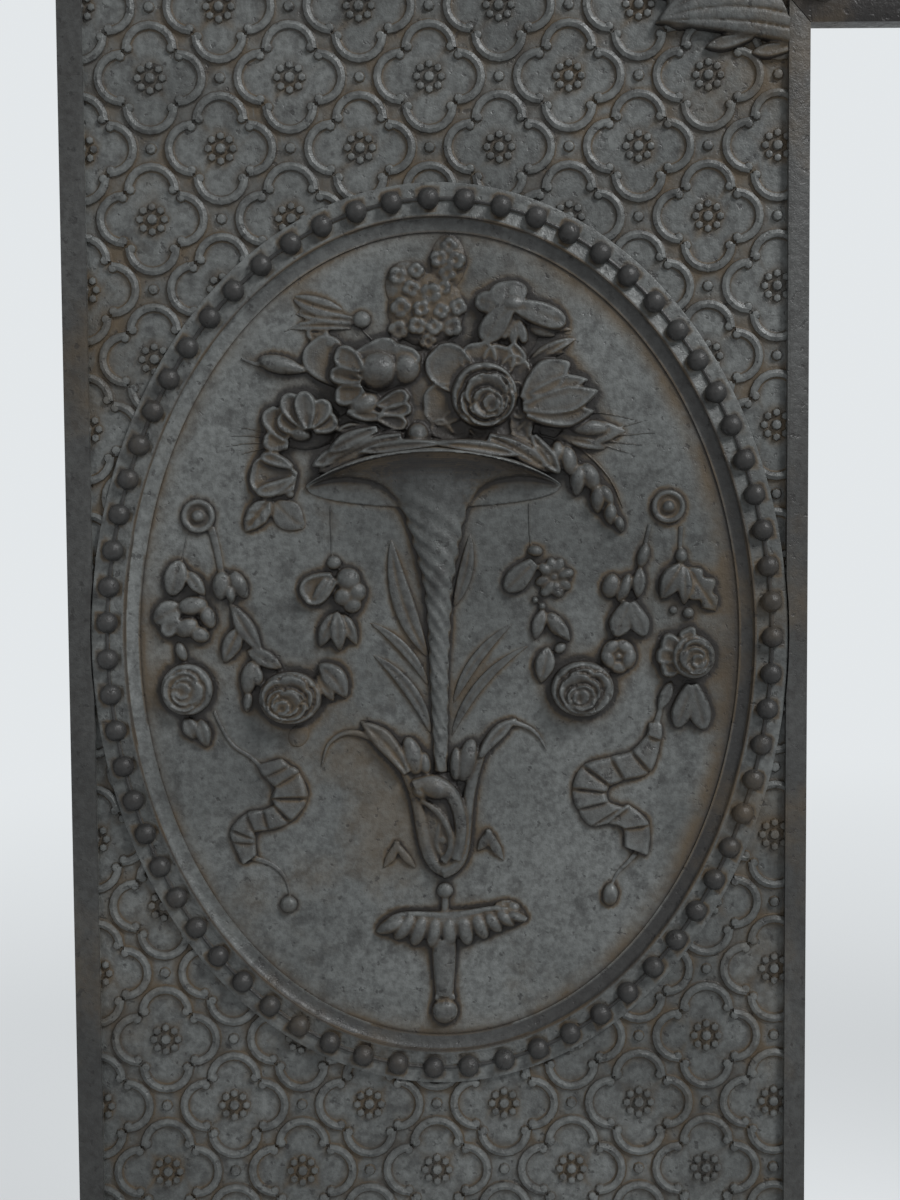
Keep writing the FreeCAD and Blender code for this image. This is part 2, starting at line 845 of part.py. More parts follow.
def make_tie(place):
    """An angled wall tie: a foot bolted to the jamb and an arm to fix in the masonry."""
    x, z = place
    outer = x - tie_foot / 2
    low = z - tie_width / 2
    high = z + tie_width / 2
    foot = block(outer, outer + tie_foot, seat_depth, seat_depth + tie_thickness, low, high)
    arm = block(outer, outer + tie_thickness, seat_depth, tie_depth, low, high)
    hole = rod(x, z, seat_depth, seat_depth + tie_thickness, bolt_radius + bolt_play)
    fixing = Part.makeCylinder(
        tie_hole_radius,
        tie_thickness,
        at(outer, tie_depth - tie_hole_end, z),
        FreeCAD.Vector(1, 0, 0),
    )
    return foot.fuse(arm).cut([hole, fixing]).removeSplitter()


def make_tie_bolts():
    back = seat_depth + tie_thickness
    return [bolt(x, z, back, tie_thickness) for x, z in tie_places()]


def both_sides(left):
    return left + [mirrored(solid) for solid in left]


os.makedirs("parts", exist_ok=True)

save_pair("jamb", make_jamb())
save("lintel", make_lintel())
save_pair("medallion", make_medallion())
save("medallion_nuts", *both_sides(make_nuts()))
save_pair("corner_leaf", make_corner_leaf())
save("corner_leaf_pins", *both_sides(make_corner_pins()))
save_pair("fishplate", make_strap())
save("fishplate_bolts", *both_sides(make_strap_bolts()))
save_pair("cheek", make_cheek())
save("cheek_bolts", *both_sides(make_cheek_bolts()))

for order, name in enumerate(("front", "middle", "rear")):
    save("curtain_leaf_" + name, make_leaf(order))
    save("friction_springs_" + name, *make_springs(order))
    save("spring_rivets_" + name, *make_spring_rivets(order))

save("pull_strap", make_pull_strap())
save("pull_rivets", *make_pull_rivets())
save("pull_ring", make_ring())
save("curtain_stop_bar", make_stop_bar())
save("stop_bar_screws", *make_stop_screws())
save("curtain_box_back", make_box_back())
save("curtain_box_screws", *make_box_screws())

for level, place in zip(("lower", "upper"), tie_places()):
    save_pair("wall_tie_" + level, make_tie(place))
save("tie_bolts", *both_sides(make_tie_bolts()))

print("overall", overall_width, front_proud + tie_depth, overall_height)
print("leaf travel", leaf_travel, "leaf height", leaf_height)
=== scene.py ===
# %% [markdown]
# # A cast iron fireplace insert
# The real object is a front of mitred iron castings: two jambs and a lintel with a ground of
# quatrefoils, and a beaded oval medallion in each jamb. Behind the lintel hangs a draught curtain.
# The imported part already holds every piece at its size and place, so this lesson loads it first
# and then dresses it. What fits and moves stays as it is and gets a finish. The ornamental
# castings are modelled again here, with the relief that a founder would carve in the pattern.

import math

import bmesh
import bpy
import numpy as np
from mathutils import Matrix, Vector


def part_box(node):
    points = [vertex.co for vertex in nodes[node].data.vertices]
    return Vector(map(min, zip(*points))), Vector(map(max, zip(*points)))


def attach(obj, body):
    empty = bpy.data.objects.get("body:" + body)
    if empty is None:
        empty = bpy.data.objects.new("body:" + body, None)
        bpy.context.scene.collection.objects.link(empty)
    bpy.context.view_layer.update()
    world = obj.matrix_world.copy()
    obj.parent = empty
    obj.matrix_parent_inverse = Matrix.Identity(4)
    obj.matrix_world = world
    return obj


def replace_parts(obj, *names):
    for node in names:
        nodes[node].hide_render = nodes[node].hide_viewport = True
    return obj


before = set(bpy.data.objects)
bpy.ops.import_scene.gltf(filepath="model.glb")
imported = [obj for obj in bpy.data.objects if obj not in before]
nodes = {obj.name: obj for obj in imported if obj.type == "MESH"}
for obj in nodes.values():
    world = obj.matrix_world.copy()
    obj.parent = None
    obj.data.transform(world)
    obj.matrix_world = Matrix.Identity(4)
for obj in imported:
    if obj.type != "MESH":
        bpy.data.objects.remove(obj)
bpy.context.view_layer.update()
scene = bpy.context.scene
scene.view_settings.view_transform = "Standard"
MM = 0.001
print("pieces in the packed part:", len(nodes))

# %% [markdown]
# ## The bench
# A relief is easier to think about lying face up on a bench: x runs across it, y up the ornament
# and z towards the viewer, in millimetres. One matrix stands the finished work up: it scales to
# metres, turns a quarter about X and moves the bench top to the ground of the ornament, the flat
# face of the plates. The borders of the jambs rise a little above that ground.

# %% The bench and the matrix that stands it up
border_rise = 3.0
ground_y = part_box("jamb_left")[0].y / MM + border_rise
stand_up = (
    Matrix.Scale(MM, 4)
    @ Matrix.Translation((0, ground_y, 0))
    @ Matrix.Rotation(math.radians(90), 4, "X")
)
print("the ornament's ground lies at y =", round(ground_y, 2), "mm")

# %% [markdown]
# ## The camera
# The photograph looks almost squarely at the left jamb from two thirds of a metre away. Its place
# was found from edges whose real size is known: the jamb's two sides, the oval and the rows of the
# ground. The same camera also tells where a pixel of the photograph lies on the ornament: `spot`
# follows the ray through the pixel to the ground, or to a plane that stands a little proud of it.

# %% Camera at the photograph's place
photo_width, photo_height = 900, 1200
lens = 50.0
sensor = 36.0
camera_place = Vector((-381.57, -702.14, 436.39))
pitch, yaw, roll = (math.radians(angle) for angle in (3.34, 0.119, -0.391))

ahead = Vector((math.sin(yaw) * math.cos(pitch), math.cos(yaw) * math.cos(pitch), -math.sin(pitch)))
level = Vector((math.cos(yaw), -math.sin(yaw), 0))
right = math.cos(roll) * level + math.sin(roll) * level.cross(ahead)
upward = right.cross(ahead)
focal_pixels = lens / sensor * photo_height

camera_data = bpy.data.cameras.new("photograph_camera")
camera_data.lens = lens
camera_data.sensor_width = sensor
camera_data.clip_start = 0.01
camera = bpy.data.objects.new("photograph_camera", camera_data)
turn = Matrix((right, upward, -ahead)).transposed().to_4x4()
camera.matrix_world = Matrix.Translation(camera_place * MM) @ turn
scene.collection.objects.link(camera)
scene.camera = camera


def spot(px, py, height=0.0):
    """Bench x and y of a pixel of the photograph, on the plane that stands height above the ground."""
    across = (px - photo_width / 2) / focal_pixels
    up = (photo_height / 2 - py) / focal_pixels
    ray = ahead + across * right + up * upward
    reach = (ground_y - height - camera_place.y) / ray.y
    point = camera_place + reach * ray
    return Vector((point.x, point.z))


photo_middle = (photo_width / 2, photo_height / 2)
pixel = (spot(photo_middle[0] + 1, photo_middle[1]) - spot(*photo_middle)).length
print("one pixel is", round(pixel, 4), "mm on the ground")

# %% [markdown]
# ## Wiring nodes
# Shaders are graphs of nodes. These helpers add a node with its sockets filled in one call, so that
# the graphs below read like formulas.

# %% Helpers to wire nodes
def add(tree, kind, settings=None, **sockets):
    """Adds a node, sets its properties, and fills sockets with values or links."""
    made = tree.nodes.new(kind)
    for name, value in (settings or {}).items():
        setattr(made, name, value)
    for name, value in sockets.items():
        key = int(name[1:]) if name[0] == "i" and name[1:].isdigit() else name.replace("_", " ")
        if isinstance(value, bpy.types.NodeSocket):
            tree.links.new(value, made.inputs[key])
        else:
            made.inputs[key].default_value = value
    return made


def blend_colours(tree, amount, first, second):
    """Mixes two colours: the first at amount 0, the second at 1."""
    mix = add(tree, "ShaderNodeMix", {"data_type": "RGBA"}, i0=amount, i6=first, i7=second)
    return mix.outputs[2]


def window_of(tree, value, low, high, to_low=0.0, to_high=1.0):
    """Eases a value between low and high into the range from to_low to to_high."""
    ranged = add(
        tree, "ShaderNodeMapRange", {"interpolation_type": "SMOOTHSTEP"},
        Value=value, From_Min=low, From_Max=high, To_Min=to_low, To_Max=to_high,
    )
    return ranged.outputs[0]


def sums(tree, operation, first, second):
    """One step of arithmetic with two values."""
    return add(tree, "ShaderNodeMath", {"operation": operation}, i0=first, i1=second).outputs[0]


def noise(tree, place, scale, detail=4.0, roughness=0.55):
    """Cloudy noise, from about 0 to 1."""
    made = add(tree, "ShaderNodeTexNoise", Vector=place, Scale=scale, Detail=detail, Roughness=roughness)
    return made.outputs["Fac"]


# %% [markdown]
# ## Light and surroundings
# The room is bright and plain: daylight from the upper right, a pale wall behind. The world shows
# that pale wall to the camera and in reflections, and lights the iron more softly itself, so
# that the wall's brightness never washes out the metal. One broad lamp stands high on the right and
# rakes over the front, as a window beside a chimney does: a raking light shows a low relief best.
# The floor is as pale as the wall. Most of what the camera sees of it is that pale colour
# itself, mixed with a part that is really lit, which keeps the object's shadow. That part fades
# out with the distance, so no horizon shows behind the object.

# %% World, lamps and floor
wall_colour = (0.77, 0.80, 0.82, 1)
daylight = (0.95, 0.98, 1.0, 1)
daylight_strength = 0.27
floor_colour = (0.80, 0.82, 0.83, 1)
floor_roughness = 0.8
floor_half = 4.0
fade_near, fade_far, pale_share = 0.7, 2.2, 0.72
world = bpy.data.worlds.new("bright_room")
scene.world = world
world.use_nodes = True
tree = world.node_tree
tree.nodes.clear()


def seen_directly(tree):
    """1 for rays from the camera and in reflections, 0 for the rays that light things."""
    path = tree.nodes.new("ShaderNodeLightPath").outputs
    either = sums(tree, "MAXIMUM", path["Is Camera Ray"], path["Is Glossy Ray"])
    return sums(tree, "MAXIMUM", either, path["Is Transmission Ray"])


soft = add(tree, "ShaderNodeBackground", Color=daylight, Strength=daylight_strength).outputs[0]
wall = add(tree, "ShaderNodeBackground", Color=wall_colour).outputs[0]
choice = add(tree, "ShaderNodeMixShader", i0=seen_directly(tree), i1=soft, i2=wall)
add(tree, "ShaderNodeOutputWorld", i0=choice.outputs[0])


def lamp(name, place, target, size, power, colour):
    """A round lamp that looks from its place at a target."""
    data = bpy.data.lights.new(name, "AREA")
    data.shape = "DISK"
    data.size = size
    data.energy = power
    data.color = colour
    lamp_object = bpy.data.objects.new(name, data)
    aim = (Vector(target) - Vector(place)).to_track_quat("-Z", "Y")
    lamp_object.matrix_world = Matrix.Translation(place) @ aim.to_matrix().to_4x4()
    scene.collection.objects.link(lamp_object)


lamp(
    "window", place=(1.0, -1.25, 2.05), target=(-0.35, 0, 0.45), size=0.75, power=58, colour=(0.98, 0.99, 1.0)
)
lamp(
    "room", place=(-1.9, -1.7, 1.0), target=(0, 0, 0.45), size=1.6, power=4, colour=(1.0, 0.97, 0.94)
)

floor_bm = bmesh.new()
bmesh.ops.create_grid(floor_bm, x_segments=1, y_segments=1, size=floor_half)
floor_mesh = bpy.data.meshes.new("floor")
floor_bm.to_mesh(floor_mesh)
floor_bm.free()
floor = bpy.data.objects.new("floor", floor_mesh)
scene.collection.objects.link(floor)

floor_paint = bpy.data.materials.new("pale_floor")
floor_paint.use_nodes = True
tree = floor_paint.node_tree
paint = tree.nodes["Principled BSDF"]
paint.inputs["Base Color"].default_value = floor_colour
paint.inputs["Roughness"].default_value = floor_roughness
floor_place = add(tree, "ShaderNodeTexCoord").outputs["Object"]
away = add(tree, "ShaderNodeVectorMath", {"operation": "LENGTH"}, i0=floor_place).outputs["Value"]
share = window_of(tree, away, fade_near, fade_far, pale_share, 1.0)
share = sums(tree, "MULTIPLY", seen_directly(tree), share)
glow = add(tree, "ShaderNodeEmission", Color=wall_colour).outputs[0]
choice = add(tree, "ShaderNodeMixShader", i0=share, i1=paint.outputs[0], i2=glow)
tree.links.new(choice.outputs[0], tree.nodes["Material Output"].inputs["Surface"])
floor_mesh.materials.append(floor_paint)

# %% [markdown]
# ## Finishes
# Old cast iron is not one grey. The skin is a dark grey green oxide, brown rust settles in
# the hollows where damp stays, small pits are nearly black, and high places are rubbed to a bluer
# grey. All iron pieces share one node group for that, with their own colours. It reads Object
# coordinates, and the attribute `recess` that the meshes carry: how deep a point lies among its
# neighbours, from 0 on open ground and high places to 1 in a corner. Recess brings rust, and the
# deepest recesses are darkened as soot and painted shade. A second attribute, `grime_and_shade`,
# darkens a whole piece or moulding without any rust: a darker tone of its own, and painted shade in
# creases, under overhangs and on sides that turn from the light. High places of the relief keep
# less of it, as rubbed wear and a painted highlight.

# %% The patina shared by all iron
blotch_share, mottle_share, pit_share = 0.46, 0.50, 0.6
damp_from, damp_to, damp_least = 0.08, 0.60, 0.30
soot_shade_from, soot_shade_to, soot_shade_share = 0.22, 0.88, 0.92
rust_limit = 0.85
rust_roughness, mottle_roughness = 0.16, 0.12
grain_height, mottle_height, pit_height = 0.5, 0.6, 0.8

patina = bpy.data.node_groups.new("iron patina", "ShaderNodeTree")
for name, kind in (
    ("Skin", "NodeSocketColor"), ("Pale skin", "NodeSocketColor"), ("Rust", "NodeSocketColor"),
    ("Soot and shade", "NodeSocketColor"), ("Recess", "NodeSocketFloat"), ("Grime and shade", "NodeSocketFloat"),
    ("Rust amount", "NodeSocketFloat"), ("Base roughness", "NodeSocketFloat"),
):
    patina.interface.new_socket(name=name, in_out="INPUT", socket_type=kind)
for name, kind in (
    ("Colour", "NodeSocketColor"), ("Roughness", "NodeSocketFloat"), ("Height", "NodeSocketFloat"),
):
    patina.interface.new_socket(name=name, in_out="OUTPUT", socket_type=kind)
given = patina.nodes.new("NodeGroupInput").outputs
iron_place = add(patina, "ShaderNodeTexCoord").outputs["Object"]


def speckle(scale, detail, roughness, low, high):
    """Noise of the patina: 0 where it is below low, 1 where it is above high."""
    return window_of(patina, noise(patina, iron_place, scale, detail, roughness), low, high)


def scaled(value, share):
    """A share of a value of the patina."""
    return sums(patina, "MULTIPLY", value, share)


# Broad clouds, rust patches, and the drifts that rust follows
clouds = speckle(scale=13, detail=6, roughness=0.62, low=0.36, high=0.66)
patches = speckle(scale=8, detail=7, roughness=0.66, low=0.55, high=0.72)
drifts = speckle(scale=38, detail=5, roughness=0.6, low=0.38, high=0.66)

# Dark blotches, a fine mottle, the sand's grain, and pits
blotches = speckle(scale=120, detail=6, roughness=0.66, low=0.50, high=0.66)
mottle = speckle(scale=330, detail=4, roughness=0.65, low=0.30, high=0.72)
grains = noise(patina, iron_place, scale=1500, detail=2)
pits = speckle(scale=270, detail=3, roughness=0.55, low=0.61, high=0.71)

skin = blend_colours(patina, clouds, given["Skin"], given["Pale skin"])
for amount in (scaled(blotches, blotch_share), scaled(mottle, mottle_share), given["Grime and shade"]):
    skin = blend_colours(patina, amount, skin, given["Soot and shade"])

# Rust in patches and where damp stays, then soot and painted shade in the deepest corners
damp = window_of(patina, given["Recess"], damp_from, damp_to)
damp = scaled(damp, sums(patina, "ADD", drifts, damp_least))
rusty = sums(patina, "ADD", scaled(patches, given["Rust amount"]), damp)
rusty = add(patina, "ShaderNodeClamp", Value=rusty, Max=rust_limit).outputs[0]
colour = blend_colours(patina, rusty, skin, given["Rust"])
soot_and_corner_shade = scaled(window_of(patina, given["Recess"], soot_shade_from, soot_shade_to), soot_shade_share)
colour = blend_colours(patina, soot_and_corner_shade, colour, given["Soot and shade"])
colour = blend_colours(patina, scaled(pits, pit_share), colour, given["Soot and shade"])

rough = sums(patina, "ADD", given["Base roughness"], scaled(rusty, rust_roughness))
rough = sums(patina, "ADD", rough, scaled(mottle, mottle_roughness))
height = sums(patina, "SUBTRACT", scaled(grains, grain_height), scaled(mottle, mottle_height))
height = sums(patina, "SUBTRACT", height, scaled(pits, pit_height))
out = patina.nodes.new("NodeGroupOutput").inputs
patina.links.new(colour, out["Colour"])
patina.links.new(rough, out["Roughness"])
patina.links.new(height, out["Height"])


# %% One finish for each kind of iron
bump_depth = 0.0005
iron_specular = 0.27


def iron(name, skin, pale, rust, soot_and_shade, rust_amount, roughness, metallic, bump):
    """An iron finish: the shared patina with this piece's own colours."""
    material = bpy.data.materials.new(name)
    material.use_nodes = True
    tree = material.node_tree
    shader = tree.nodes["Principled BSDF"]
    recess = add(tree, "ShaderNodeAttribute", {"attribute_name": "recess"}).outputs["Fac"]
    grime_and_shade = add(tree, "ShaderNodeAttribute", {"attribute_name": "grime_and_shade"}).outputs["Fac"]
    coat = tree.nodes.new("ShaderNodeGroup")
    coat.node_tree = patina
    for key, value in (("Skin", skin), ("Pale skin", pale), ("Rust", rust), ("Soot and shade", soot_and_shade)):
        coat.inputs[key].default_value = (*value, 1)
    coat.inputs["Rust amount"].default_value = rust_amount
    coat.inputs["Base roughness"].default_value = roughness
    tree.links.new(recess, coat.inputs["Recess"])
    tree.links.new(grime_and_shade, coat.inputs["Grime and shade"])
    tree.links.new(coat.outputs["Colour"], shader.inputs["Base Color"])
    tree.links.new(coat.outputs["Roughness"], shader.inputs["Roughness"])
    relief = add(tree, "ShaderNodeBump", Strength=bump, Distance=bump_depth, Height=coat.outputs["Height"])
    tree.links.new(relief.outputs[0], shader.inputs["Normal"])
    shader.inputs["Metallic"].default_value = metallic
    shader.inputs["Specular IOR Level"].default_value = iron_specular
    return material


cast_iron = iron(
    "cast_iron_finish", skin=(0.084, 0.089, 0.087), pale=(0.144, 0.151, 0.148), rust=(0.086, 0.062, 0.036),
    soot_and_shade=(0.015, 0.0135, 0.013), rust_amount=0.55, roughness=0.36, metallic=0.0, bump=0.5,
)
wrought_iron = iron(
    "wrought_iron_finish", skin=(0.040, 0.039, 0.038), pale=(0.070, 0.068, 0.066), rust=(0.085, 0.048, 0.026),
    soot_and_shade=(0.016, 0.014, 0.013), rust_amount=0.8, roughness=0.50, metallic=0.25, bump=0.4,
)
sheet_iron = iron(
    "sheet_iron_finish", skin=(0.045, 0.046, 0.048), pale=(0.075, 0.077, 0.080), rust=(0.080, 0.050, 0.030),
    soot_and_shade=(0.018, 0.017, 0.017), rust_amount=0.5, roughness=0.42, metallic=0.35, bump=0.2,
)
spring_steel = iron(
    "spring_steel_finish", skin=(0.055, 0.062, 0.085), pale=(0.085, 0.095, 0.130), rust=(0.085, 0.054, 0.034),
    soot_and_shade=(0.022, 0.022, 0.026), rust_amount=0.2, roughness=0.30, metallic=0.7, bump=0.15,
)
fastener_iron = iron(
    "fasteners_finish", skin=(0.048, 0.046, 0.045), pale=(0.080, 0.078, 0.076), rust=(0.090, 0.050, 0.026),
    soot_and_shade=(0.018, 0.015, 0.014), rust_amount=0.6, roughness=0.44, metallic=0.35, bump=0.3,
)
finishes = {
    "cast_iron": cast_iron, "wrought_iron": wrought_iron, "sheet_iron": sheet_iron,
    "spring_steel": spring_steel, "fasteners": fastener_iron,
}

for node in nodes.values():
    slot = node.data.materials[0].name
    node.data.materials.clear()
    node.data.materials.append(finishes[slot])
print("finishes:", ", ".join(finishes))

# %% [markdown]
# ## From bench to object
# Every casting ends the same way: its bmesh is stood up, becomes an object at the origin with
# the place in its mesh, gets smooth shading with crisp edges where faces meet steeply, and rides on
# the front. A right hand casting is the left one mirrored, with its faces turned the right way out.

# %% Helpers to finish a casting
cut_tolerance = 1e-5
boss_sink = 0.05


def casting(bm, name, crisp=38.0, mirror=False):
    """Stands a bench shape up as a piece of the front; edges steeper than crisp degrees stay sharp."""
    bm = bm.copy()
    if mirror:
        bmesh.ops.scale(bm, vec=(-1, 1, 1), verts=bm.verts)
        bmesh.ops.reverse_faces(bm, faces=bm.faces)
    bmesh.ops.transform(bm, matrix=stand_up, verts=bm.verts)
    mesh = bpy.data.meshes.new(name)
    bm.to_mesh(mesh)
    bm.free()
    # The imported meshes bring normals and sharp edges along, which no longer fit the merged faces
    for stale in ("custom_normal", "sharp_edge"):
        if stale in mesh.attributes:
            mesh.attributes.remove(mesh.attributes[stale])
    mesh.polygons.foreach_set("use_smooth", [True] * len(mesh.polygons))
    mesh.set_sharp_from_angle(angle=math.radians(crisp))
    mesh.materials.append(cast_iron)
    piece = bpy.data.objects.new(name, mesh)
    scene.collection.objects.link(piece)
    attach(piece, "front")
    print(name, "has", len(mesh.polygons), "faces")
    return piece


def cut_along(bm, point, normal, clear=False):
    """Cuts all faces along a plane, and with clear takes away what lies beyond it."""
    everything = bm.verts[:] + bm.edges[:] + bm.faces[:]
    cut = bmesh.ops.bisect_plane(
        bm, geom=everything, dist=cut_tolerance, plane_co=point, plane_no=normal, clear_outer=clear
    )
    return cut["geom_cut"]


def close_cut(bm, point, normal):
    """Cuts away what lies beyond a plane, and closes the cut."""
    on_cut = cut_along(bm, point, normal, clear=True)
    bmesh.ops.holes_fill(bm, edges=[e for e in on_cut if isinstance(e, bmesh.types.BMEdge)], sides=0)


def close_holes(bm):
    """Closes what is still open, and turns all faces outward."""
    bmesh.ops.holes_fill(bm, edges=[e for e in bm.edges if e.is_boundary], sides=0)
    bmesh.ops.recalc_face_normals(bm, faces=bm.faces)


def join(bm, other):
    """Adds another bmesh's shape to this one, and frees it."""
    carrier = bpy.data.meshes.new("carrier")
    other.to_mesh(carrier)
    other.free()
    bm.from_mesh(carrier)
    bpy.data.meshes.remove(carrier)


def dirt_and_shade_layers(bm):
    """Gives a shape the two attributes that the finishes read: recess, and grime_and_shade for dirt and
    painted shade.
    """
    for name in ("recess", "grime_and_shade"):
        bm.verts.layers.float.new(name)
    return [bm.verts.layers.float[name] for name in ("recess", "grime_and_shade")]


def dome(bm, x, y, radius, height, segments=8):
    """A boss: the upper half of a squashed ball, closed a little under the surface that it sits on."""
    boss = bmesh.new()
    bmesh.ops.create_uvsphere(boss, u_segments=segments, v_segments=4, radius=1)
    bmesh.ops.scale(boss, vec=(radius, radius, height), verts=boss.verts)
    close_cut(boss, (0, 0, 0), (0, 0, -1))
    bmesh.ops.translate(boss, vec=(x, y, -boss_sink), verts=boss.verts)
    join(bm, boss)


# %% [markdown]
# ## The ground of quatrefoils
# Four half circle ribs with curled ends make a quatrefoil, with a rosette in its middle, and a
# pellet fills the cell between neighbours. The ground is this one unit, repeated like the squares
# of a chessboard. A rib is a moulded section, a round with a sloping foot on each side, spun half a
# turn with the spin operator. The unit repeats hundreds of times, so its ribs and bosses have only
# a few dozen faces each. Their feet carry more of `recess` and `grime_and_shade` than their crowns:
# rust, and a painted shade where they meet the ground.

# %% One quatrefoil with its rosette and pellet
cell = 26.9
lobe_reach = 10.95
lobe_radius = 9.2
rib_height = 1.65
rib_section = (
    (-2.5, -0.1), (-1.8, 0.16), (-1.45, 1.05), (-0.05, rib_height), (1.35, 1.05), (1.7, 0.16), (2.4, -0.1),
)
rib_steps = 10
curl_radius, curl_rise = 2.1, 0.2
curl_places = ((11.3, 8.25), (11.3, -8.25))
button_radius, button_height = 2.4, 2.1
petal_count, petal_reach, petal_radius, petal_height = 8, 4.8, 1.9, 1.6
pellet_radius, pellet_height = 2.4, 1.9
foot_recess, foot_shade = 0.45, 0.72


def rib_lobe():
    """One C shaped rib, opening towards the quatrefoil's middle, with its two curled ends."""
    lobe = bmesh.new()
    section = [lobe.verts.new((lobe_reach, -lobe_radius - out, z)) for out, z in rib_section]
    profile = lobe.faces.new(section)
    middle = (lobe_reach, 0, 0)
    bmesh.ops.spin(lobe, geom=[profile], cent=middle, axis=(0, 0, 1), angle=math.pi, steps=rib_steps)
    for x, y in curl_places:
        dome(lobe, x, y, curl_radius, rib_height + curl_rise)
    bmesh.ops.recalc_face_normals(lobe, faces=lobe.faces)
    return lobe


def quatrefoil():
    """The unit of the ground: four ribs, a rosette of a button and petals, and the pellet beside it."""
    unit = bmesh.new()
    for quarter in range(4):
        lobe = rib_lobe()
        turned = Matrix.Rotation(quarter * math.pi / 2, 3, "Z")
        bmesh.ops.rotate(lobe, cent=(0, 0, 0), matrix=turned, verts=lobe.verts)
        join(unit, lobe)
    dome(unit, 0, 0, button_radius, button_height)
    for petal in range(petal_count):
        angle = 2 * math.pi * petal / petal_count
        x, y = petal_reach * math.cos(angle), petal_reach * math.sin(angle)
        dome(unit, x, y, petal_radius, petal_height, segments=6)
    dome(unit, cell, 0, pellet_radius, pellet_height)
    recess, grime_and_shade = dirt_and_shade_layers(unit)
    # Painted shade: the feet of ribs and bosses are darker than their crowns
    for v in unit.verts:
        low_down = max(1 - max(v.co.z, 0) / rib_height, 0)
        v[recess] = foot_recess * low_down
        v[grime_and_shade] = foot_shade * low_down
    return unit


unit = quatrefoil()
print("a quatrefoil has", len(unit.faces), "faces")

# %% [markdown]
# ## Plates
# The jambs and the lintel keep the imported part's form: borders, returns, ribs and bolt holes. A
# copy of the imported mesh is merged, and its flat ground is cut into squares, so that it can hold
# the shade that gathers between the ribs. Then the ground is laid on: units are cut at the
# borders, at the mitre and under the oval's rim, each cut closed again.

# %% Sizes of the plates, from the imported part
jamb_low, jamb_high = (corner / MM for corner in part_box("jamb_left"))
lintel_low, lintel_high = (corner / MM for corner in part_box("lintel"))
oval_low, oval_high = (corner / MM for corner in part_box("medallion_left"))
outer_border, inner_border, border_ridge = 8.8, 7.4, 1.2
outer_x, inner_x = jamb_low.x, jamb_high.x
oval_x, oval_z = (oval_low.x + oval_high.x) / 2, (oval_low.z + oval_high.z) / 2
oval_half, oval_tall = (oval_high.x - oval_low.x) / 2, (oval_high.z - oval_low.z) / 2
opening_top = lintel_low.z
mitre_sum = inner_x + opening_top
border_overlap = 0.3
mitre_gap = 0.2
square = 5.4
border_recess, back_recess = 0.12, 0.2
ground_recess, ground_painted_shade = 0.46, 0.46
rib_middle, rosette_margin, shade_reach = 0.4, 0.4, 3.2
front_level = 0.5
merge_distance, facing_viewer, ground_tolerance = 0.002, 0.99, 0.05
print("oval half axes:", round(oval_half, 2), round(oval_tall, 2))


def oval_depth(x, y):
    """How far a bench point lies inside the oval's edge, in millimetres, negative outside."""
    u, v = x - oval_x, y - oval_z
    size = math.hypot(u / oval_half, v / oval_tall)
    if size == 0:
        return oval_half
    return math.hypot(u, v) * (1 / size - 1)


def ground_shade(x, y, origin):
    """How shaded the open ground is at a place: more near the ribs and rosettes of the nearest unit."""
    u, v = x - origin[0], y - origin[1]
    column, row = round(u / cell), round(v / cell)
    u, v = abs(u - column * cell), abs(v - row * cell)
    if (column + row) % 2:
        u, v = cell - max(u, v), min(u, v)
    u, v = max(u, v), min(u, v)
    if u > lobe_reach:
        to_rib = abs(math.hypot(u - lobe_reach, v) - lobe_radius - rib_middle)
    else:
        to_rib = math.hypot(u - lobe_reach, v - lobe_radius)
    to_petals = max(math.hypot(u, v) - petal_reach, 0)
    nearest = min(to_rib, to_petals + rosette_margin)
    return math.exp(-((nearest / shade_reach) ** 2))


def ground_skin(flat, low, high, origin):
    """A copy of the flat ground's faces, cut into squares that hold the shade of the ornament."""
    skin = bmesh.new()
    copies = {}
    for f in flat:
        corners = []
        for v in f.verts:
            if v not in copies:
                copies[v] = skin.verts.new(v.co)
            corners.append(copies[v])
        skin.faces.new(corners)
    for axis, normal in ((0, (1, 0, 0)), (1, (0, 1, 0))):
        count = int((high[axis] - low[axis]) / square)
        for step in range(1, count):
            point = [0, 0, 0]
            point[axis] = low[axis] + (high[axis] - low[axis]) * step / count
            cut_along(skin, point, normal)
    recess, grime_and_shade = dirt_and_shade_layers(skin)
    # Painted shade, with some rust: the open ground is darker near the ribs and rosettes
    for v in skin.verts:
        shade = ground_shade(v.co.x, v.co.y, origin)
        v[recess] = ground_recess * shade
        v[grime_and_shade] = ground_painted_shade * shade
    return skin


def plate_copy(node, origin, left_border_dark, right_border_dark):
    """A bench copy of a packed plate, with darkened borders and its ground cut into squares."""
    plate = bmesh.new()
    plate.from_mesh(nodes[node].data)
    bmesh.ops.transform(plate, matrix=stand_up.inverted(), verts=plate.verts)
    bmesh.ops.remove_doubles(plate, verts=plate.verts, dist=merge_distance)
    facing = [f for f in plate.faces if f.normal.z > facing_viewer]
    flat = [f for f in facing if max(abs(v.co.z) for v in f.verts) < ground_tolerance]
    low = [min(v.co[axis] for f in flat for v in f.verts) for axis in (0, 1)]
    high = [max(v.co[axis] for f in flat for v in f.verts) for axis in (0, 1)]
    skin = ground_skin(flat, low, high, origin)
    bmesh.ops.delete(plate, geom=flat, context="FACES")
    recess, grime_and_shade = dirt_and_shade_layers(plate)
    for v in plate.verts:
        on_border = v.co.z > front_level
        v[recess] = border_recess if on_border else back_recess
        if on_border:
            v[grime_and_shade] = left_border_dark if v.co.x < (low[0] + high[0]) / 2 else right_border_dark
    join(plate, skin)
    return plate


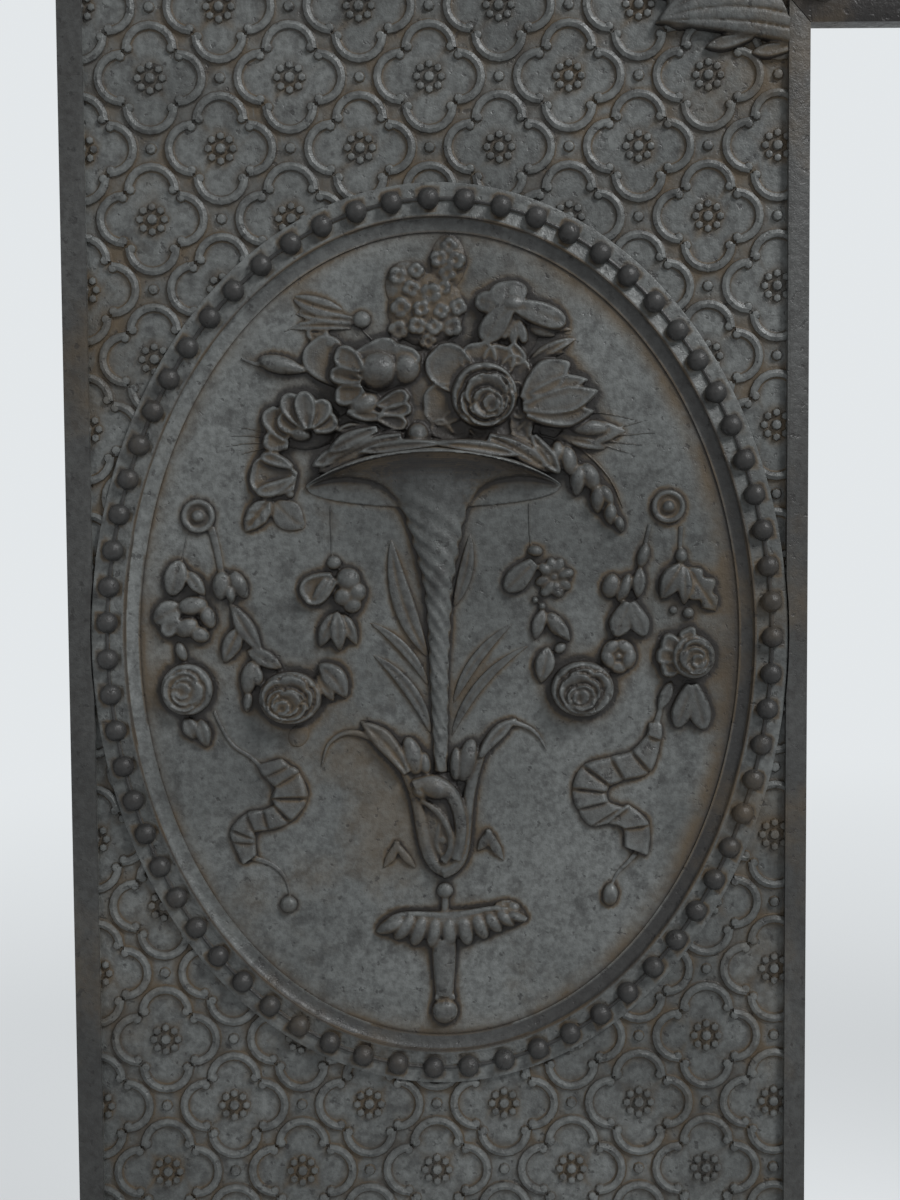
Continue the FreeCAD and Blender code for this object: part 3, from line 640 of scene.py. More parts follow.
def lay_ground(columns, rows, origin, keep, trim=None):
    """Repeats the unit on every second cell that keep allows; trim may cut a unit before it is laid."""
    ground = bmesh.new()
    for column in columns:
        for row in rows:
            x, y = origin[0] + column * cell, origin[1] + row * cell
            if (column + row) % 2 or not keep(x, y):
                continue
            one = unit.copy()
            bmesh.ops.translate(one, vec=(x, y, 0), verts=one.verts)
            if trim:
                trim(one, x, y)
            join(ground, one)
    return ground


# %% Cut the units under the oval
under_rim = 5.0
reach_inside, reach_outside = 1.2 * cell, 1.6 * cell


def trim_to_oval(one, x, y):
    """Cuts a unit that runs under the rim, on the rim's tangent near it."""
    if oval_depth(x, y) < -reach_outside:
        return
    angle = math.atan2((y - oval_z) / oval_tall, (x - oval_x) / oval_half)
    normal = Vector((math.cos(angle) / oval_half, math.sin(angle) / oval_tall, 0)).normalized()
    rim_x = oval_x + (oval_half - under_rim) * math.cos(angle)
    rim_y = oval_z + (oval_tall - under_rim) * math.sin(angle)
    close_cut(one, (rim_x, rim_y, 0), -normal)


# %% Jambs
jamb_origin = (-494.48, 600.43)
jamb_columns = range(-3, 12)
jamb_rows = range(-24, 14)
left_limit = outer_x + outer_border + border_ridge - border_overlap
right_limit = inner_x - inner_border - border_ridge + border_overlap
low_limit = outer_border + border_ridge - border_overlap


def on_jamb(x, y):
    """Whether a unit at this place shows on the jamb, beside the oval."""
    beside_mitre = y < mitre_sum - x + 2 * cell
    inside = left_limit - cell < x < right_limit + cell and -cell < y and beside_mitre
    return inside and oval_depth(x, y) < reach_inside


jamb_ground = lay_ground(jamb_columns, jamb_rows, jamb_origin, on_jamb, trim_to_oval)
close_cut(jamb_ground, (left_limit, 0, 0), (-1, 0, 0))
close_cut(jamb_ground, (right_limit, 0, 0), (1, 0, 0))
close_cut(jamb_ground, (0, low_limit, 0), (0, -1, 0))
close_cut(jamb_ground, (inner_x - mitre_gap, opening_top, 0), (1, 1, 0))
jamb = plate_copy("jamb_left", jamb_origin, left_border_dark=0.66, right_border_dark=0.64)
join(jamb, jamb_ground)
for side, mirror in (("left", False), ("right", True)):
    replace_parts(casting(jamb, f"jamb_{side}_casting", mirror=mirror), f"jamb_{side}")

# %% Lintel
lintel_origin = (0, jamb_origin[1])
lintel_columns = range(-21, 22)
lintel_rows = range(-1, 13)
lintel_top = lintel_high.z


def on_lintel(x, y):
    """Whether a unit at this place shows on the lintel, between its mitres."""
    return opening_top - cell < y < lintel_top + cell and abs(x) < -mitre_sum + y + 2 * cell


lintel_ground = lay_ground(lintel_columns, lintel_rows, lintel_origin, on_lintel)
lower_limit = opening_top + inner_border + border_ridge - border_overlap
upper_limit = lintel_top - outer_border - border_ridge + border_overlap
close_cut(lintel_ground, (0, lower_limit, 0), (0, -1, 0))
close_cut(lintel_ground, (0, upper_limit, 0), (0, 1, 0))
close_cut(lintel_ground, (inner_x + mitre_gap, opening_top, 0), (-1, -1, 0))
close_cut(lintel_ground, (-inner_x - mitre_gap, opening_top, 0), (1, -1, 0))
# The lintel's borders are darkened fully: a darker tone, and painted shade on the lower strip that faces down
lintel = plate_copy("lintel", lintel_origin, left_border_dark=1.0, right_border_dark=1.0)
join(lintel, lintel_ground)
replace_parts(casting(lintel, "lintel_casting"), "lintel")

# %% [markdown]
# ## The medallion's rim and field
# The oval rim is one moulding carried round: a band with a row of beads on a string, a hollow that
# falls inward, and a crisp step to the sunk field. The profile starts as an elliptic ring of edges,
# and each next point extrudes the ring and draws it in, so the moulding keeps its width all round.

# %% Rim, field and back of the medallion
oval_steps, cove_steps, field_rings = 432, 8, 108
band_rise, band_width = 2.2, 13.4
cove_width, cove_foot, field_sink = 5.4, 0.2, 0.8
field_edge = band_width + cove_width
field_middle = 1.5
seat, stud_end, stud_radius = 4.0, 14.5, 3.0
stud_across, stud_height = 75.0, 105.0
bead_inset, bead_pitch, bead_radius, bead_lift, bead_foot = 6.4, 14.17, 4.25, 0.6, 1.5


def carry_round(bm, profile, close_first=False, close_last=False):
    """Carries a profile of insets and heights round the oval, extruding each ring from the last."""
    inset, height = profile[0]
    verts = bmesh.ops.create_circle(bm, segments=oval_steps, radius=1)["verts"]
    bmesh.ops.scale(bm, vec=(oval_half - inset, oval_tall - inset, 1), verts=verts)
    bmesh.ops.translate(bm, vec=(oval_x, oval_z, height), verts=verts)
    first = ring = list({e for v in verts for e in v.link_edges})
    to_middle = Matrix.Translation((-oval_x, -oval_z, 0))
    for next_inset, next_height in profile[1:]:
        made = bmesh.ops.extrude_edge_only(bm, edges=ring)["geom"]
        verts = [v for v in made if isinstance(v, bmesh.types.BMVert)]
        ring = [e for e in made if isinstance(e, bmesh.types.BMEdge)]
        wide = (oval_half - next_inset) / (oval_half - inset)
        tall = (oval_tall - next_inset) / (oval_tall - inset)
        bmesh.ops.scale(bm, vec=(wide, tall, 1), space=to_middle, verts=verts)
        bmesh.ops.translate(bm, vec=(0, 0, next_height - height), verts=verts)
        inset, height = next_inset, next_height
    for wanted, edges in ((close_first, first), (close_last, ring)):
        if wanted:
            bmesh.ops.holes_fill(bm, edges=edges, sides=0)


cove = []
for step in range(cove_steps + 1):
    turn = math.radians(90 * step / cove_steps)
    inset = band_width + cove_width * (1 - math.cos(turn))
    cove.append((inset, band_rise - (band_rise + cove_foot) * math.sin(turn)))
field_width = oval_half - field_edge - field_middle
field = [(field_edge + field_width * step / field_rings, -field_sink) for step in range(field_rings + 1)]
# The band: a rounded outer edge, a flat for the beads, and a raised fillet beside the hollow
rim = [(0, -seat), (0, band_rise - 0.4), (0.12, band_rise - 0.12), (0.4, band_rise)]
rim += [(3.0, band_rise), (band_width - 1.9, band_rise), (band_width - 1.5, band_rise + 0.3)]
rim += [(band_width - 0.35, band_rise + 0.3)]
string = [(-1.0, -0.3), (-0.6, 0.75), (0, 1.0), (0.6, 0.75), (1.0, -0.3)]

medallion = bmesh.new()
carry_round(medallion, rim + cove[1:] + field, close_first=True, close_last=True)
carry_round(medallion, [(bead_inset + across, band_rise + up) for across, up in string])
for side in (-1, 1):
    for end in (-1, 1):
        stud = bmesh.new()
        bmesh.ops.create_cone(
            stud, cap_ends=True, segments=24, radius1=stud_radius, radius2=stud_radius, depth=stud_end - seat
        )
        middle = (oval_x + side * stud_across, oval_z + end * stud_height, -(stud_end + seat) / 2)
        bmesh.ops.translate(stud, vec=middle, verts=stud.verts)
        join(medallion, stud)
print("rim and field:", len(medallion.faces), "faces")

# %% Beads at equal steps along the oval
def oval_walk(inset, pitch):
    """Points at equal distances along an oval, close to the wanted pitch."""
    fine = 2000
    track = []
    for step in range(fine + 1):
        angle = 2 * math.pi * step / fine
        x = oval_x + (oval_half - inset) * math.cos(angle)
        track.append(Vector((x, oval_z + (oval_tall - inset) * math.sin(angle))))
    lengths = [0.0]
    for one, other in zip(track, track[1:]):
        lengths.append(lengths[-1] + (other - one).length)
    count = round(lengths[-1] / pitch)
    wanted = [lengths[-1] * i / count for i in range(count)]
    places, step = [], 0
    for length in wanted:
        while lengths[step + 1] < length:
            step += 1
        places.append(track[step])
    return places


bead_places = oval_walk(bead_inset, bead_pitch)
for place in bead_places:
    bead = bmesh.new()
    bmesh.ops.create_uvsphere(bead, u_segments=16, v_segments=12, radius=bead_radius)
    close_cut(bead, (0, 0, -bead_foot), (0, 0, -1))
    bmesh.ops.translate(bead, vec=(place.x, place.y, band_rise + bead_lift), verts=bead.verts)
    join(medallion, bead)
bmesh.ops.recalc_face_normals(medallion, faces=medallion.faces)
print("beads:", len(bead_places))

# %% [markdown]
# ## Carving shapes for the relief
# The founder's carver worked with a few shapes and varied them: a ball that can be drawn to a point,
# a blade that is a leaf, a petal with a rolled edge, and a cord. Each function here makes one of
# them near the origin of a small bmesh, and `put` sets it on the field at a pixel of the
# photograph. Blades and petals are grids whose vertices are moved by a formula. Their edges are
# rounded, and a body reaches down into the field, because a sand casting has no undercuts.

# %% Balls, blades, petals and cords
field_z = -field_sink
root = 0.7
tip_drop = 0.6
edge_round, edge_foot = 1.5, 0.3
least_width = 0.02
midrib_width, vein_depth, vein_slant = 0.75, 0.35, 0.22
petal_widest, petal_least = 0.62, 0.03
lip_inset, lip_width, fold_width = 1.1, 0.8, 0.8


def clamp(value):
    """Keeps a value between 0 and 1."""
    return min(max(value, 0.0), 1.0)


def share_of(coordinate):
    """A grid's coordinate from -1 to 1, as a share from 0 to 1."""
    return clamp((coordinate + 1) / 2)


def put(bm, shape, px, py, angle=0.0, lift=0.0):
    """Sets a shape on the field at a pixel of the photograph, turned by angle."""
    where = spot(px, py, field_z + lift)
    spun = Matrix.Rotation(math.radians(angle), 4, "Z")
    place = Matrix.Translation((where.x, where.y, field_z + lift))
    bmesh.ops.transform(shape, matrix=place @ spun, verts=shape.verts)
    join(bm, shape)


def ball(length, width, height, point=0.0, segments=18, rings=12):
    """A squashed ball, lying along x. With point above 0 its far end is drawn to a tip."""
    shape = bmesh.new()
    bmesh.ops.create_uvsphere(shape, u_segments=segments, v_segments=rings, radius=1)
    for v in shape.verts:
        along = (v.co.x + 1) / 2
        waist = 1 - point * along ** 3
        lower = 1 - tip_drop * point * along ** 3
        v.co = Vector((v.co.x * length / 2, v.co.y * waist * width / 2, v.co.z * lower * height))
    return shape


def body(shape):
    """Gives a sheet a body that reaches down into the field."""
    sheet = set(shape.verts)
    bmesh.ops.solidify(shape, geom=shape.faces[:], thickness=0.1)
    for v in shape.verts:
        if v not in sheet:
            v.co.z = -root
    bmesh.ops.recalc_face_normals(shape, faces=shape.faces)
    return shape


def bent(length, turn, s, out):
    """A point at the share s along a line that bends by turn, and out to its side."""
    if abs(turn) < 1e-4:
        return length * s, out
    radius = length / turn
    x = radius * math.sin(turn * s) - out * math.sin(turn * s)
    return x, radius * (1 - math.cos(turn * s)) + out * math.cos(turn * s)


def rounded(to_edge, rounding):
    """Rises from 0 at an edge to 1 like a quarter circle, over the length rounding."""
    inside = clamp(to_edge / rounding)
    return math.sqrt(1 - (1 - inside) ** 2)


def soft_edge(to_edge, rounding, foot):
    """The share of its height that a sheet has near its edge: foot at the edge itself, 1 further in."""
    return foot + (1 - foot) * rounded(to_edge, rounding)


def blade(
    length, width, arch, groove=0.0, belly=0.9, point=0.9, bend=0.0, lobes=0, bite=0.25, veins=0, edge=0.8,
):
    """A leaf along x from its base at the origin.

    arch lifts its middle, groove sinks the midrib, and edge is its thickness. belly moves the widest
    place towards the base when it is small, and a small point gives a round end. bend curves it
    sideways, in degrees. lobes notch its edges by bite, and veins ripple it on both sides.
    """
    shape = bmesh.new()
    bmesh.ops.create_grid(shape, x_segments=24, y_segments=14, size=1)
    turn = math.radians(bend)
    for v in shape.verts:
        s, t = share_of(v.co.x), v.co.y
        half = width / 2 * max(math.sin(math.pi * s ** belly), 0.0) ** point
        if lobes:
            half *= 1 - bite * abs(math.cos(math.pi * lobes * s)) ** 3
        half = max(half, least_width * width)
        height = edge + arch * math.sin(math.pi * (s * 0.96 + 0.02)) ** 0.6
        height *= soft_edge(half * (1 - abs(t)), edge_round, edge_foot)
        height -= groove * math.exp(-((t * half / midrib_width) ** 2))
        if veins:
            ripple = math.sin(2 * math.pi * veins * (s - vein_slant * abs(t)))
            height += vein_depth * ripple * min(1, 3 * abs(t))
        v.co = Vector((*bent(length, turn, s, t * half), height))
    return body(shape)


def petal(length, width, low, high, dish=0.0, lip=0.0, waist=0.45, taper=0.0, fold=0.0, bend=0.0):
    """A petal along x from its base, low high there and high at its end.

    dish hollows it, or swells it below 0, and lip rolls its edge up. waist is the share of its width
    at the base. taper draws its round end to a point, fold creases it along the middle, and bend
    curves it sideways, in degrees.
    """
    shape = bmesh.new()
    bmesh.ops.create_grid(shape, x_segments=20, y_segments=18, size=1)
    turn = math.radians(bend)
    for v in shape.verts:
        s, t = share_of(v.co.x), v.co.y
        if s < petal_widest:
            half = waist + (1 - waist) * math.sin(math.pi / 2 * s / petal_widest)
        else:
            beyond = (s - petal_widest) / (1 - petal_widest)
            half = max(1 - beyond ** (2 - taper), 0.0) ** (0.5 + 0.4 * taper)
        half = max(half, petal_least) * width / 2
        to_edge = min(half * (1 - abs(t)), length * (1 - s))
        height = low + (high - low) * s - dish * (1 - t * t) * math.sin(math.pi * min(s, 0.85))
        height += lip * math.exp(-(((to_edge - lip_inset) / lip_width) ** 2))
        height -= fold * math.exp(-((t * half / fold_width) ** 2))
        height *= soft_edge(to_edge, edge_round, edge_foot)
        v.co = Vector((*bent(length, turn, s, t * half), height))
    return body(shape)


def cord(bm, pixels, radius, tail=None, lift=0.0, flat=1.0):
    """A stem or string through pixels of the photograph, its radius going over to tail at its end."""
    data = bpy.data.curves.new("stem", "CURVE")
    data.dimensions = "3D"
    data.bevel_depth = 1.0
    data.bevel_resolution = 2
    data.use_fill_caps = True
    spline = data.splines.new("NURBS")
    spline.points.add(len(pixels) - 1)
    tail = radius if tail is None else tail
    for i, (px, py) in enumerate(pixels):
        where = spot(px, py, field_z)
        spline.points[i].co = (where.x, where.y, 0, 1)
        spline.points[i].radius = radius + (tail - radius) * i / (len(pixels) - 1)
    spline.order_u = 3
    spline.use_endpoint_u = True
    spline.resolution_u = 6
    holder = bpy.data.objects.new("stem", data)
    mesh = bpy.data.meshes.new_from_object(holder)
    shape = bmesh.new()
    shape.from_mesh(mesh)
    bmesh.ops.scale(shape, vec=(1, 1, flat), verts=shape.verts)
    bmesh.ops.translate(shape, vec=(0, 0, field_z + lift), verts=shape.verts)
    join(bm, shape)
    bpy.data.objects.remove(holder)
    bpy.data.curves.remove(data)
    bpy.data.meshes.remove(mesh)


def along(bm, make, base, tip, width, bend):
    """Sets a blade or petal from one pixel to another; its width is in pixels too."""
    run = spot(*tip, field_z) - spot(*base, field_z)
    half_bend = math.radians(bend) / 2
    chord = math.sin(half_bend) / half_bend if abs(bend) > 0.01 else 1.0
    shape = make(run.length / chord, width * pixel)
    put(bm, shape, *base, math.degrees(math.atan2(run.y, run.x)) - bend / 2)


def leaf(bm, base, tip, width, arch, bend=0.0, **form):
    """A blade from one pixel to another."""
    along(bm, lambda length, wide: blade(length, wide, arch, bend=bend, **form), base, tip, width, bend)


def lay(bm, base, tip, width, low, high, bend=0.0, **form):
    """A petal from one pixel to another."""
    along(bm, lambda length, wide: petal(length, wide, low, high, bend=bend, **form), base, tip, width, bend)


def carve(bm, shapes):
    """Sets a table of shapes: each row is a carving function, its pixels and sizes, then its form."""
    for make, *sizes in shapes:
        form = sizes.pop() if isinstance(sizes[-1], dict) else {}
        make(bm, *sizes, **form)


# %% [markdown]
# ## Flowers
# A rose is a disc whose vertices are raised by a formula in polar coordinates: its petals stand in
# rings with scalloped rims. Across each ring the height rises to the rim and then falls steeply, so
# that one petal seems to lie over the next. A blossom is a ring of puffed petals round a small
# button. A lilac is many florets, each a disc with four round lobes and a pit.

# %% Roses, blossoms, buds and florets
rose_edge_round, rose_edge_foot = 1.6, 0.25
ring_turn, ring_lean, lean_turn, ring_crowding = 1.9, 0.12, 2.5, 0.85
notch, notch_groove, heart_dip = 0.13, 0.16, 0.12
inner_groove, groove_growth, groove_falloff = 0.14, 0.30, 1.4
puff_width, puff_length, puff_place, puff_varies, turn_varies = 2.5, 0.86, 0.60, 0.18, 9
heart_across, heart_height = 0.5, 0.62
floret_waist, floret_notch, floret_lean = 0.80, 0.74, 7
floret_round, floret_foot, pit_depth, pit_width = 0.42, 0.2, 0.6, 0.34


def rose(bm, px, py, across, height, angle=0.0, heart=(0.0, 0.0), squash=1.0, whorls=4, rim=0.8):
    """A rose, across in pixels, with whorls rings of petals.

    heart moves its inner rings by pixels, squash flattens its outline, and rim is the share of the
    height at its edge.
    """
    radius = across * pixel / 2
    first_turn = math.radians(angle)
    flower = bmesh.new()
    bmesh.ops.create_grid(flower, x_segments=112, y_segments=44, size=1)
    for v in flower.verts:
        theta, rho = math.pi * v.co.x, share_of(v.co.y)
        inner = 0.0
        for ring in range(1, whorls + 1):
            gap = (1 - abs(math.sin((ring + 1) / 2 * (theta + first_turn + ring_turn * ring)))) ** 3
            lean = 1 + ring_lean * math.cos(theta + lean_turn * ring + first_turn)
            outer = (ring / whorls) ** ring_crowding * (1 - notch * gap) * lean if ring < whorls else 1.0
            if rho <= outer:
                break
            inner = outer
        share = clamp((rho - inner) / max(outer - inner, 0.01))
        crown = 1 - (1 - rim) * rho ** 3 - heart_dip * (1 - rho) ** 2
        groove = (inner_groove + groove_growth * rho) * (1 - share) ** groove_falloff
        groove += notch_groove * gap * share
        level = height * (crown - groove) * soft_edge((1 - rho) * radius, rose_edge_round, rose_edge_foot)
        x = rho * radius * math.cos(theta) + heart[0] * pixel * (1 - rho)
        y = rho * radius * math.sin(theta) * squash + heart[1] * pixel * (1 - rho)
        v.co = Vector((x, y, level))
    bmesh.ops.remove_doubles(flower, verts=flower.verts, dist=0.01)
    put(bm, body(flower), px, py)


def blossom(bm, px, py, across, petals, height, angle=0.0, puff=1.0):
    """A flower of puffed petals round a small button; their heights and turns vary a little."""
    radius = across * pixel / 2
    flower = bmesh.new()
    width = puff_width * radius * math.sin(math.pi / petals) * puff
    for i in range(petals):
        high = height * (1 - puff_varies + puff_varies * math.sin(2.3 * i + angle))
        one = ball(puff_length * radius, width, high, segments=14, rings=10)
        bmesh.ops.translate(one, vec=(puff_place * radius, 0, 0), verts=one.verts)
        turn = angle + 360 * i / petals + turn_varies * math.sin(1.7 * i)
        turned = Matrix.Rotation(math.radians(turn), 3, "Z")
        bmesh.ops.rotate(one, cent=(0, 0, 0), matrix=turned, verts=one.verts)
        join(flower, one)
    join(flower, ball(heart_across * radius, heart_across * radius, heart_height * height))
    put(bm, flower, px, py)


def bud(bm, px, py, length, width, height, angle=0.0, point=0.6, lift=0.0):
    """A ball, its length and width in pixels; point draws its far end to a tip."""
    put(bm, ball(length * pixel, width * pixel, height, point), px, py, angle, lift)


def pellet(bm, px, py, across, height, lift=0.0):
    """A round ball, across in pixels."""
    put(bm, ball(across * pixel, across * pixel, height), px, py, 0, lift)


def floret(bm, px, py, across, height, angle, lift):
    """A lilac's small flower: a disc with four round lobes and a pit, leaning a little."""
    radius = across * pixel / 2
    flower = bmesh.new()
    bmesh.ops.create_grid(flower, x_segments=32, y_segments=8, size=1)
    for v in flower.verts:
        theta, rho = math.pi * v.co.x, share_of(v.co.y)
        full = abs(math.cos(2 * theta)) ** 0.5
        reach = radius * (floret_waist + (1 - floret_waist) * full)
        level = height * (floret_notch + (1 - floret_notch) * full)
        level *= soft_edge((1 - rho) * reach, floret_round * radius, floret_foot)
        level -= pit_depth * height * math.exp(-((rho / pit_width) ** 2))
        v.co = Vector((rho * reach * math.cos(theta), rho * reach * math.sin(theta), level))
    bmesh.ops.remove_doubles(flower, verts=flower.verts, dist=0.01)
    body(flower)
    lean = Matrix.Rotation(math.radians(floret_lean), 3, "X") @ Matrix.Rotation(math.radians(angle), 3, "Z")
    bmesh.ops.rotate(flower, cent=(0, 0, 0), matrix=lean, verts=flower.verts)
    put(bm, flower, px, py, 71 * angle, lift)


# %% [markdown]
# ## The bouquet
# Every flower is set where the photograph has it: a lilac at the top with a trumpet flower beside
# it, a peony, the big rose, an open flower and a tulip at the sides, and leaves, ferns and bells
# that spill over the rim of the vase. Low mounds under them hold the heap together, as the carver
# would leave it. In the tables, places and widths are in pixels of the photograph, heights and the
# radii of cords in millimetres, and angles in degrees.

# %% Mounds and lilac
bouquet = bmesh.new()
mound_sink, floret_sink = 0.5, 0.2
floret_height, floret_step, floret_turn = 1.2, 0.2, 37
mounds = (
    (436, 428, 214, 62, 4.8), (442, 390, 176, 84, 4.2), (426, 310, 80, 76, 2.5), (448, 262, 38, 58, 1.7),
    (406, 286, 44, 52, 2.1), (306, 424, 74, 54, 2.8), (512, 330, 56, 66, 2.0),
)
for px, py, wide, tall, high in mounds:
    put(bouquet, ball(wide * pixel, tall * pixel, high), px, py, lift=-mound_sink)


def heap_level(px, py):
    """How high the mounds reach at a pixel."""
    level = 0.0
    for middle_x, middle_y, wide, tall, high in mounds:
        off = math.hypot(2 * (px - middle_x) / wide, 2 * (py - middle_y) / tall)
        level = max(level, high * math.sqrt(max(1 - off * off, 0)) - mound_sink)
    return level


florets = (
    (449, 246, 17), (439, 259, 19), (456, 261, 20), (447, 274, 18), (398, 276, 19), (416, 271, 17),
    (430, 294, 23), (411, 289, 18), (458, 307, 19), (444, 288, 15), (401, 308, 22), (421, 309, 18),
    (441, 311, 17), (398, 331, 22), (417, 326, 19), (434, 327, 18), (452, 327, 21), (428, 342, 18),
)
for i, (px, py, across) in enumerate(florets):
    height = floret_height + floret_step * (i * 7 % 3)
    floret(bouquet, px, py, across, height, floret_turn * i, heap_level(px, py) - floret_sink)

# %% Sprays and leaves at the upper left
spray_leaves = (
    ((344, 313), (292, 297), 20, -16), ((360, 321), (293, 312), 13, -10),
    ((356, 328), (286, 329), 10, 18), ((344, 350), (307, 335), 13, 12),
)
for base, tip, width, bend in spray_leaves:
    leaf(bouquet, base, tip, width, 1.0, groove=0.9, point=0.6, edge=0.5, bend=bend)
spray_heart = (362, 320)
pellet(bouquet, *spray_heart, 18, 2.6)
spray_stalks = (
    ((283, 332), (305, 324), (335, 321), (354, 323)), ((292, 315), (318, 313), (350, 318)),
    ((298, 323), (322, 317), (350, 320)), ((356, 324), (366, 334), (374, 342)),
)
for stalk in spray_stalks:
    cord(bouquet, stalk, 0.35, 0.6)
spray_tips = (
    (cord, ((322, 331), (314, 327), (307, 332), (310, 340), (317, 340)), 0.9, 0.8, 0.2),
    (pellet, 331, 343, 15, 2.2),
    (pellet, 326, 336, 9, 1.8),
    (lay, (344, 382), (311, 341), 46, 1.6, 2.0, dict(lip=0.5, dish=0.5)),
    (bud, 284, 366, 54, 21, 4.2, -13, 0.8),
    (cord, ((241, 358), (249, 363), (260, 365)), 0.6, 1.0, 0.2),
)
carve(bouquet, spray_tips)

# %% Trumpet flower at the upper right
trumpet_petals = (
    ((510, 312), (506, 281), 40, 3.4, 0), ((512, 310), (474, 301), 24, 2.8, 14),
    ((512, 306), (484, 344), 28, 4.0, 22), ((508, 306), (566, 325), 26, 3.0, -12),
)
for base, tip, width, high, bend in trumpet_petals:
    lay(bouquet, base, tip, width, 5.2, high, dish=-0.9, lip=0.35, fold=0.3, bend=bend)
trumpet_heart = (512, 305)
bud(bouquet, *trumpet_heart, 34, 22, 6.4, -10, 0)
trumpet_throat = (
    ((511, 316), (503, 341), 12, 10), ((513, 315), (513, 346), 12, 0),
    ((516, 315), (524, 345), 12, -10),
)
for base, tip, width, bend in trumpet_throat:
    lay(bouquet, base, tip, width, 2.8, 3.8, dish=-0.5, lip=0.3, bend=bend)
trumpet_leaves = (
    (bud, 540, 331, 34, 14, 2.6, -18, 0.5),
    (lay, (512, 345), (519, 368), 22, 3.8, 3.6, dict(lip=0.7, dish=0.4)),
    (leaf, (524, 368), (579, 338), 14, 1.5, dict(groove=0.7, bend=-26, edge=0.5)),
    (leaf, (530, 330), (575, 330), 8, 1.0, dict(groove=0.4, bend=-10, edge=0.5)),
    (leaf, (528, 362), (566, 352), 9, 0.9, dict(bend=-14, edge=0.5)),
)
carve(bouquet, trumpet_leaves)

# %% Peony, its folded petals and the bud under it
peony = (
    (bud, 379, 370, 90, 52, 5.6, 0, 0),
    (lay, (384, 374), (368, 343), 52, 4.6, 5.0, dict(lip=0.6, dish=-0.4)),
    (lay, (396, 374), (404, 345), 44, 4.6, 4.8, dict(lip=0.6, dish=-0.4)),
    (bud, 378, 371, 48, 43, 9.6, 10, 0.06),
    (bud, 406, 369, 34, 38, 7.8, 0, 0.06),
    (lay, (362, 372), (334, 354), 26, 7.6, 4.2, dict(lip=1.1, dish=0.6, bend=34)),
    (lay, (362, 382), (329, 375), 21, 6.8, 4.4, dict(lip=1.0, fold=0.6, bend=16)),
    (lay, (364, 390), (334, 396), 24, 7.0, 4.0, dict(lip=1.1, dish=0.6, bend=-34)),
    (bud, 365, 405, 38, 31, 7.4, 14, 0.1),
    (lay, (348, 412), (384, 416), 15, 5.4, 5.6, dict(lip=0.7, bend=34)),
)
carve(bouquet, peony)
peony_folds = (
    ((378, 406), (409, 393), 20, 26), ((382, 414), (413, 410), 18, -16),
    ((378, 420), (408, 428), 19, -28),
)
for base, tip, width, bend in peony_folds:
    lay(bouquet, base, tip, width, 5.2, 5.6, lip=1.0, dish=0.7, bend=bend)

# %% Open flower on the left, with its leaves and fern
open_petals = (
    ((306, 432), (279, 414), 28, 5.0, 4.2), ((306, 428), (285, 394), 26, 5.6, 5.0),
    ((314, 430), (338, 418), 24, 5.2, 4.2), ((312, 428), (328, 400), 24, 5.8, 5.4),
    ((309, 430), (304, 391), 24, 6.6, 7.0),
)
for base, tip, width, low, high in open_petals:
    lay(bouquet, base, tip, width, low, high, lip=0.9, dish=0.3, fold=0.3, taper=0.2)
open_flower = (
    (bud, 301, 434, 25, 17, 6.4, -10, 0.1),
    (lay, (287, 440), (268, 408), 27, 3.2, 3.2, dict(lip=0.8, dish=0.3)),
    (lay, (289, 445), (263, 440), 22, 3.0, 2.6, dict(lip=0.7, dish=0.3)),
)
carve(bouquet, open_flower)
left_fern = (
    ((274, 440), (250, 433), (226, 437)), ((274, 443), (250, 441), (220, 448)),
    ((272, 447), (254, 450), (236, 456)), ((272, 438), (256, 428), (240, 428)),
)
for stalk in left_fern:
    cord(bouquet, stalk, 0.6, 0.3)

# %% The big rose and its outer petals
rose_petals = (
    ((474, 392), (431, 351), 48, 5.2, 4.6), ((470, 404), (422, 406), 46, 5.0, 4.2),
    ((474, 414), (444, 434), 36, 4.6, 3.8), ((482, 386), (476, 342), 40, 5.0, 4.0),
    ((492, 386), (503, 345), 36, 4.8, 3.8), ((500, 390), (524, 358), 34, 4.8, 3.6),
    ((500, 410), (520, 432), 36, 5.0, 4.4), ((504, 402), (526, 400), 42, 5.4, 5.0),
)
for base, tip, width, low, high in rose_petals:
    lay(bouquet, base, tip, width, low, high, dish=0.7, lip=0.9)
big_rose = (
    (lay, (452, 436), (430, 424), 24, 4.6, 4.4, dict(lip=0.7, fold=0.5, taper=0.4)),
    (lay, (470, 428), (500, 444), 26, 5.0, 4.6, dict(lip=0.8, fold=0.6, taper=0.5, bend=-16)),
    (lay, (514, 412), (528, 440), 26, 4.8, 4.4, dict(lip=0.8, fold=0.5, taper=0.5, bend=16)),
    (rose, 484, 396, 66, 10.4, 200, (7, -12), 1.0, 5, 0.92),
)
carve(bouquet, big_rose)

# %% Tulip, oval bud and fern on the right
tulip_body = (548, 402)
bud(bouquet, *tulip_body, 60, 46, 7.4, 14, 0.3)
tulip_petals = (
    ((524, 402), (570, 363), 36, -26, 6.4), ((526, 414), (594, 411), 26, 24, 5.8),
    ((522, 408), (598, 391), 30, 16, 7.2), ((530, 396), (588, 380), 22, -8, 6.2),
)
for base, tip, width, bend, high in tulip_petals:
    lay(bouquet, base, tip, width, 7.0, high, lip=0.8, taper=0.8, dish=-0.3, bend=bend)
oval_bud = (
    (leaf, (556, 437), (626, 431), 28, 1.0, dict(bend=-8)),
    (bud, 588, 428, 42, 19, 4.8, -4, 0.05),
    (cord, ((558, 426), (584, 413), (612, 413), (642, 422)), 0.6, 0.35),
)
carve(bouquet, oval_bud)
right_fern = (
    ((606, 431), (630, 424), (652, 419)), ((608, 436), (632, 434), (656, 433)),
    ((606, 441), (626, 443), (650, 446)), ((604, 445), (618, 450), (636, 455)),
)
